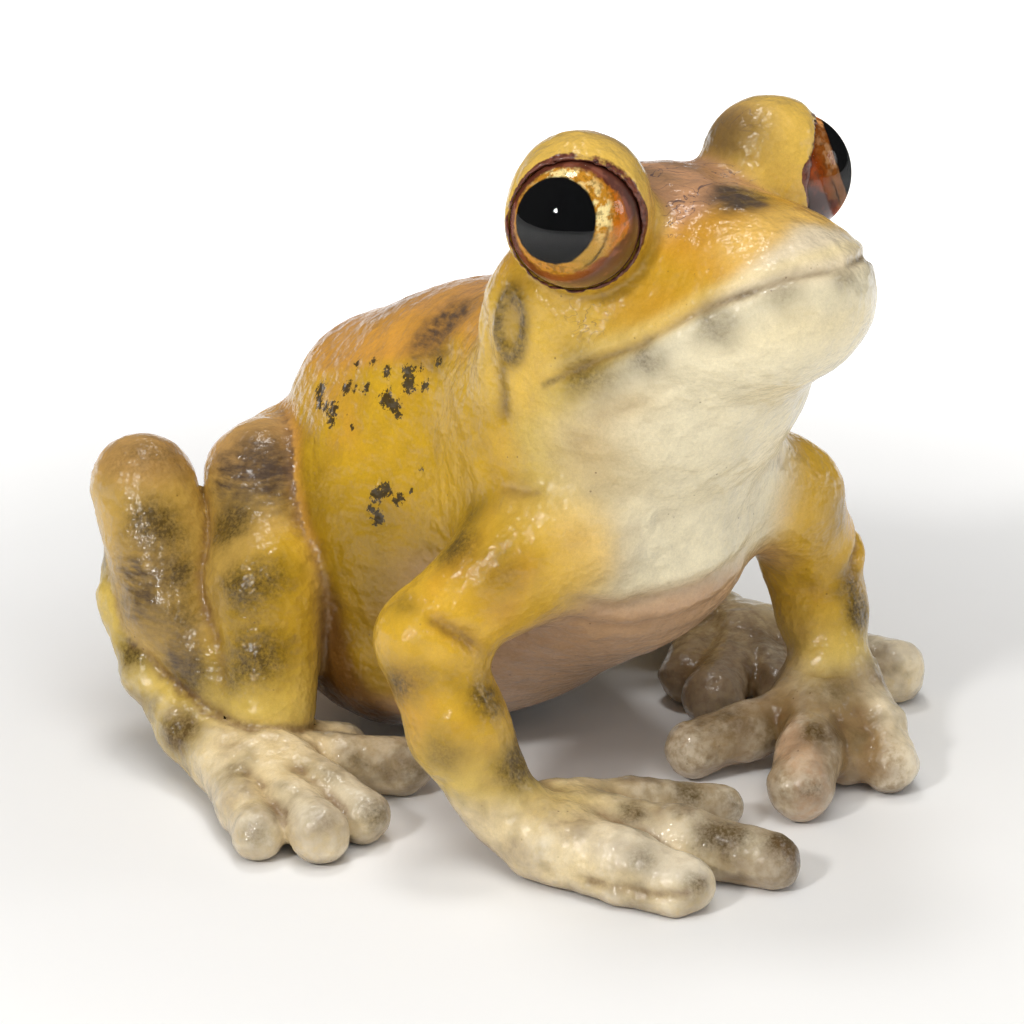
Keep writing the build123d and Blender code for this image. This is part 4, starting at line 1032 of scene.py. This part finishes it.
def eye_colours(p, th, ph, mirror):
    """Gold leaf, brown ring and black pupil; ph = 0 towards the snout, a quarter turn is up."""
    if mirror:
        ph = np.pi - ph
    deg = np.degrees(th)
    a = (np.degrees(ph) + 180) % 360 - 180
    wob = fractal(p / 1.1, 90) * 2.2 + fractal(p / 0.35, 95) * 1.2
    gold_out = np.interp(a, [-180, -135, -90, -45, -20, 0, 25, 45, 90, 135, 180], [44, 49, 55, 54, 64, 76, 71, 62, 52, 46, 44])
    ring = np.tile(rgb(86, 44, 32), (len(p), 1))
    ring = mixc(ring, rgb(126, 72, 56), ramp(fractal(p / 1.4, 97), -0.1, 0.5))
    ring = mixc(ring, rgb(64, 30, 22), ramp(deg, 76, 86))
    ring = mixc(ring, rgb(150, 84, 30), np.exp(-((a + 75) / 45.0) ** 2) * ramp(-deg, -70, -58))
    gold = mixc(np.tile(rgb(204, 144, 44), (len(p), 1)), rgb(204, 112, 10), ramp(deg - 0.12 * np.abs(a), 50, 62))
    flake = ramp(fractal(p / 0.7, 99), -0.15, 0.35) * ramp(-deg, -62, -50)
    # whitish gold leaf, strongest at the top and the front of the iris: partly gold leaf, partly a painted reflection
    gold = mixc(gold, rgb(255, 236, 170), 1.2 * flake * (np.exp(-((a - 95) / 34.0) ** 2) + np.exp(-((a - 18) / 30.0) ** 2)))
    gold = mixc(gold, rgb(120, 84, 22), ramp(fractal(p / 0.4, 101), 0.15, 0.6) * 0.6)
    gold = mixc(gold, rgb(168, 140, 62), np.exp(-((a + 40) / 30.0) ** 2) * 0.7)
    c = mixc(ring, gold, ramp(gold_out - deg + wob, -2.5, 2.5))
    dark = np.exp(-((deg - 53 - 0.4 * wob) / 1.3) ** 2) * np.exp(-((a + 32) / 26.0) ** 2)
    c = mixc(c, rgb(26, 20, 14), dark * 0.9)
    c = mixc(c, rgb(6, 7, 9), ramp(41.0 - deg + 0.28 * wob, -0.8, 0.8))
    return c


def eye_material():
    t = Net("eye_paint")
    fine = t.noise(5200, 3, 0.6)
    c = t.mix(1.0, t.attr("paint", True), t.mix(t.fit(fine, 0.3, 0.7, 0, 1), (0.86, 0.84, 0.8), (1.08, 1.06, 1.04)), "MULTIPLY")
    leaf = t.attr("leaf")
    bare = t.attr("bare")
    t.surface(Base_Color=c, Metallic=t.math("MULTIPLY", leaf, 0.35), Roughness=t.fit(fine, 0.3, 0.7, 0.32, 0.5),
              Normal=t.bump(t.math("MULTIPLY", fine, leaf), 0.5, 0.00025), Specular_IOR_Level=t.math("MULTIPLY", bare, 0.4),
              Coat_Weight=bare, Coat_Roughness=0.04, Coat_IOR=1.45)
    return t.m


def glass_material():
    """A clear dome: what is under it shows through, and its face mirrors the lights."""
    t = Net("eye_glass")
    clear = t.node("ShaderNodeBsdfTransparent")
    clear.inputs[0].default_value = (1.0, 0.995, 0.985, 1)
    gloss = t.node("ShaderNodeBsdfGlossy")
    gloss.inputs["Roughness"].default_value = 0.012
    t.put(gloss.inputs["Normal"], t.bump(t.noise(240, 2), 0.06, 0.0006))
    fres = t.node("ShaderNodeFresnel")
    fres.inputs["IOR"].default_value = 1.5
    m = t.node("ShaderNodeMixShader")
    t.put(m.inputs[0], t.math("MINIMUM", t.math("MULTIPLY", fres.outputs[0], 0.35), 0.022))
    t.l.new(clear.outputs[0], m.inputs[1])
    t.l.new(gloss.outputs[0], m.inputs[2])
    o = t.node("ShaderNodeOutputMaterial")
    t.l.new(m.outputs[0], o.inputs[0])
    return t.m


EYE_PAINT, EYE_GLASS = eye_material(), glass_material()
for side, s in (("right", -1), ("left", 1)):
    centre = EYES[s]
    angles = np.radians(np.concatenate([np.arange(1.2, 96, 1.2), np.arange(99, 180, 4.5)]))
    p, faces, th, ph = polar_ball(centre, GAZE[side], [EYE_R - 0.03] * (len(angles) + 1), angles, 240)
    faces.append(tuple(range(len(p) - 1, len(p) - 241, -1)))
    c = eye_colours(p, th, ph, s > 0)
    low = np.clip(0.42 - (p - centre) @ LID[s], 0, None)
    p = p + low[:, None] * LID[s]              # flat behind, where it is glued in
    leaf = ramp(c[:, 0] - c[:, 2], 0.12, 0.4)
    if s > 0:                                  # this eye is painted darker and redder outside the pupil: partly its own paint, partly painted shade
        shade = ramp(np.degrees(th), 37, 39)
        streak = ramp(fractal(p / np.array([2.2, 2.2, 5.0]), 140), 0.05, 0.35)
        c = mixc(c, mixc(c * [0.42, 0.26, 0.24], c * [0.9, 0.55, 0.4], streak), shade)
    ob = add_mesh("eye_ball_" + side, p, faces, None, {"leaf": leaf, "bare": ramp(np.degrees(th), 63, 66)}, c)
    ob.data.materials.append(EYE_PAINT)
    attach(ob, "root")
    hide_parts("eyeball_" + side)
    outer = np.radians(np.concatenate([np.arange(2, 62, 2.0), [63, 64]]))
    r_out = EYE_R + 0.16 * np.clip(np.cos(np.concatenate([[0], outer]) * 90 / 64.0), 0, 1) ** 0.6 + 0.03
    po, fo, _a, _b = polar_ball(centre, GAZE[side], list(r_out), outer, 120)
    pi, fi, _a, _b = polar_ball(centre, GAZE[side], [EYE_R + 0.01] * (len(outer) + 1), outer, 120)
    k = len(po)
    last = 1 + (len(outer) - 1) * 120
    lens = fo + [tuple(k + i for i in reversed(f)) for f in fi]
    lens += [(last + j, k + last + j, k + last + (j + 1) % 120, last + (j + 1) % 120) for j in range(120)]
    ob = add_mesh("lens_" + side, np.concatenate([po, pi]), lens)
    ob.data.materials.append(EYE_GLASS)
    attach(ob, "root")
    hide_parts("eye_lens_" + side)

# ------------------------------------------------------------------ carried-over CAD nodes

steel = Net("pin_steel")
turned = steel.noise(900, 3, 0.6, steel.coords((1, 1, 6)))
steel.surface(Base_Color=steel.mix(turned, col(150, 150, 152), col(196, 196, 198)), Metallic=1.0,
              Roughness=steel.fit(turned, 0.3, 0.7, 0.24, 0.42), Normal=steel.bump(turned, 0.2, 0.0001))
rubber = Net("plug_rubber")
dust = rubber.noise(700, 4, 0.6)
rubber.surface(Base_Color=rubber.mix(rubber.fit(dust, 0.35, 0.7, 0, 1), col(58, 55, 50), col(92, 87, 78)),
               Roughness=rubber.fit(dust, 0.3, 0.7, 0.62, 0.85), Normal=rubber.bump(rubber.noise(2600, 3), 0.35, 0.0002))
for name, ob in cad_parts.items():
    if "_pin_" in name:
        ob.data.materials.clear()
        ob.data.materials.append(steel.m)
    if name == "pour_plug":
        ob.data.materials.clear()
        ob.data.materials.append(rubber.m)

# ------------------------------------------------------------------ floor, light, camera

me = bpy.data.meshes.new("floor")
me.from_pydata([(-3, -3, 0), (3, -3, 0), (3, 3, 0), (-3, 3, 0)], [], [(0, 1, 2, 3)])
floor = bpy.data.objects.new("floor", me)
bpy.context.scene.collection.objects.link(floor)
fl = Net("floor_paper")
# the floor glows, from none within 5 cm of the middle to strong beyond 30 cm: painted light
spread = fl.node("ShaderNodeVectorMath", operation="LENGTH")
fl.l.new(fl.coords(), spread.inputs[0])
fl.surface(Base_Color=fl.mix(fl.noise(40, 3), (0.84, 0.84, 0.84), (0.86, 0.86, 0.86)), Roughness=0.9, Specular_IOR_Level=0.1,
           Emission_Color=(1, 1, 1, 1), Emission_Strength=fl.fit(spread.outputs["Value"], 0.05, 0.30, 0.0, 0.9, True))
floor.data.materials.append(fl.m)

world = bpy.data.worlds.new("studio")
bpy.context.scene.world = world
world.use_nodes = True
wn, wl = world.node_tree.nodes, world.node_tree.links
wn.clear()
bg, lit, path, mixer, out = (wn.new(k) for k in ("ShaderNodeBackground", "ShaderNodeBackground", "ShaderNodeLightPath", "ShaderNodeMixShader", "ShaderNodeOutputWorld"))
bg.inputs[0].default_value, bg.inputs[1].default_value = (1, 1, 1, 1), 1.0
lit.inputs[0].default_value, lit.inputs[1].default_value = (1.0, 0.985, 0.96, 1), 0.15
wl.new(path.outputs["Is Camera Ray"], mixer.inputs[0])
wl.new(lit.outputs[0], mixer.inputs[1])
wl.new(bg.outputs[0], mixer.inputs[2])
wl.new(mixer.outputs[0], out.inputs[0])

TARGET = np.array([-8.25, -3.81, 35.0]) / 1000
RIGHT = np.array([math.cos(AZ), math.sin(AZ), 0])
UP = np.cross(BACK_DIR, RIGHT)


def lamp(name, towards, distance, size, power, colour=(1, 1, 1)):
    d = np.array(towards, float)
    d /= np.linalg.norm(d)
    light = bpy.data.lights.new(name, "AREA")
    light.shape = "DISK"
    light.size = size
    light.energy = power
    light.color = colour
    ob = bpy.data.objects.new(name, light)
    ob.location = Vector(TARGET + d * distance)
    ob.rotation_euler = Vector(d).to_track_quat("Z", "Y").to_euler()
    bpy.context.scene.collection.objects.link(ob)
    return ob


lamp("key", BACK_DIR * 0.83 - RIGHT * 0.517 + UP * 0.30, 0.75, 0.10, 2.2, (1, 0.985, 0.96))
lamp("high", (0.12, 0.22, 0.97), 0.7, 0.16, 1.1, (1, 0.99, 0.97))
top = lamp("top", (-0.25, -0.3, 1.0), 0.65, 0.5, 1.9, (1, 0.99, 0.97))
lamp("side", RIGHT * 0.9 + UP * 0.35 + BACK_DIR * 0.1, 0.8, 0.25, 0.6)
fill = lamp("fill", BACK_DIR * 0.8 + RIGHT * 0.2 + UP * 0.25, 0.9, 0.6, 1.5)
top.visible_glossy = fill.visible_glossy = False

cam_data = bpy.data.cameras.new("camera")
cam_data.lens = 112.5
cam_data.sensor_width = 36.0
cam_data.clip_start = 0.01
cam = bpy.data.objects.new("camera", cam_data)
cam.location = Vector(TARGET + BACK_DIR * 0.3855)
cam.rotation_euler = Vector(BACK_DIR).to_track_quat("Z", "Y").to_euler()
bpy.context.scene.collection.objects.link(cam)
bpy.context.scene.camera = cam
bpy.context.scene.view_settings.view_transform = "Standard"
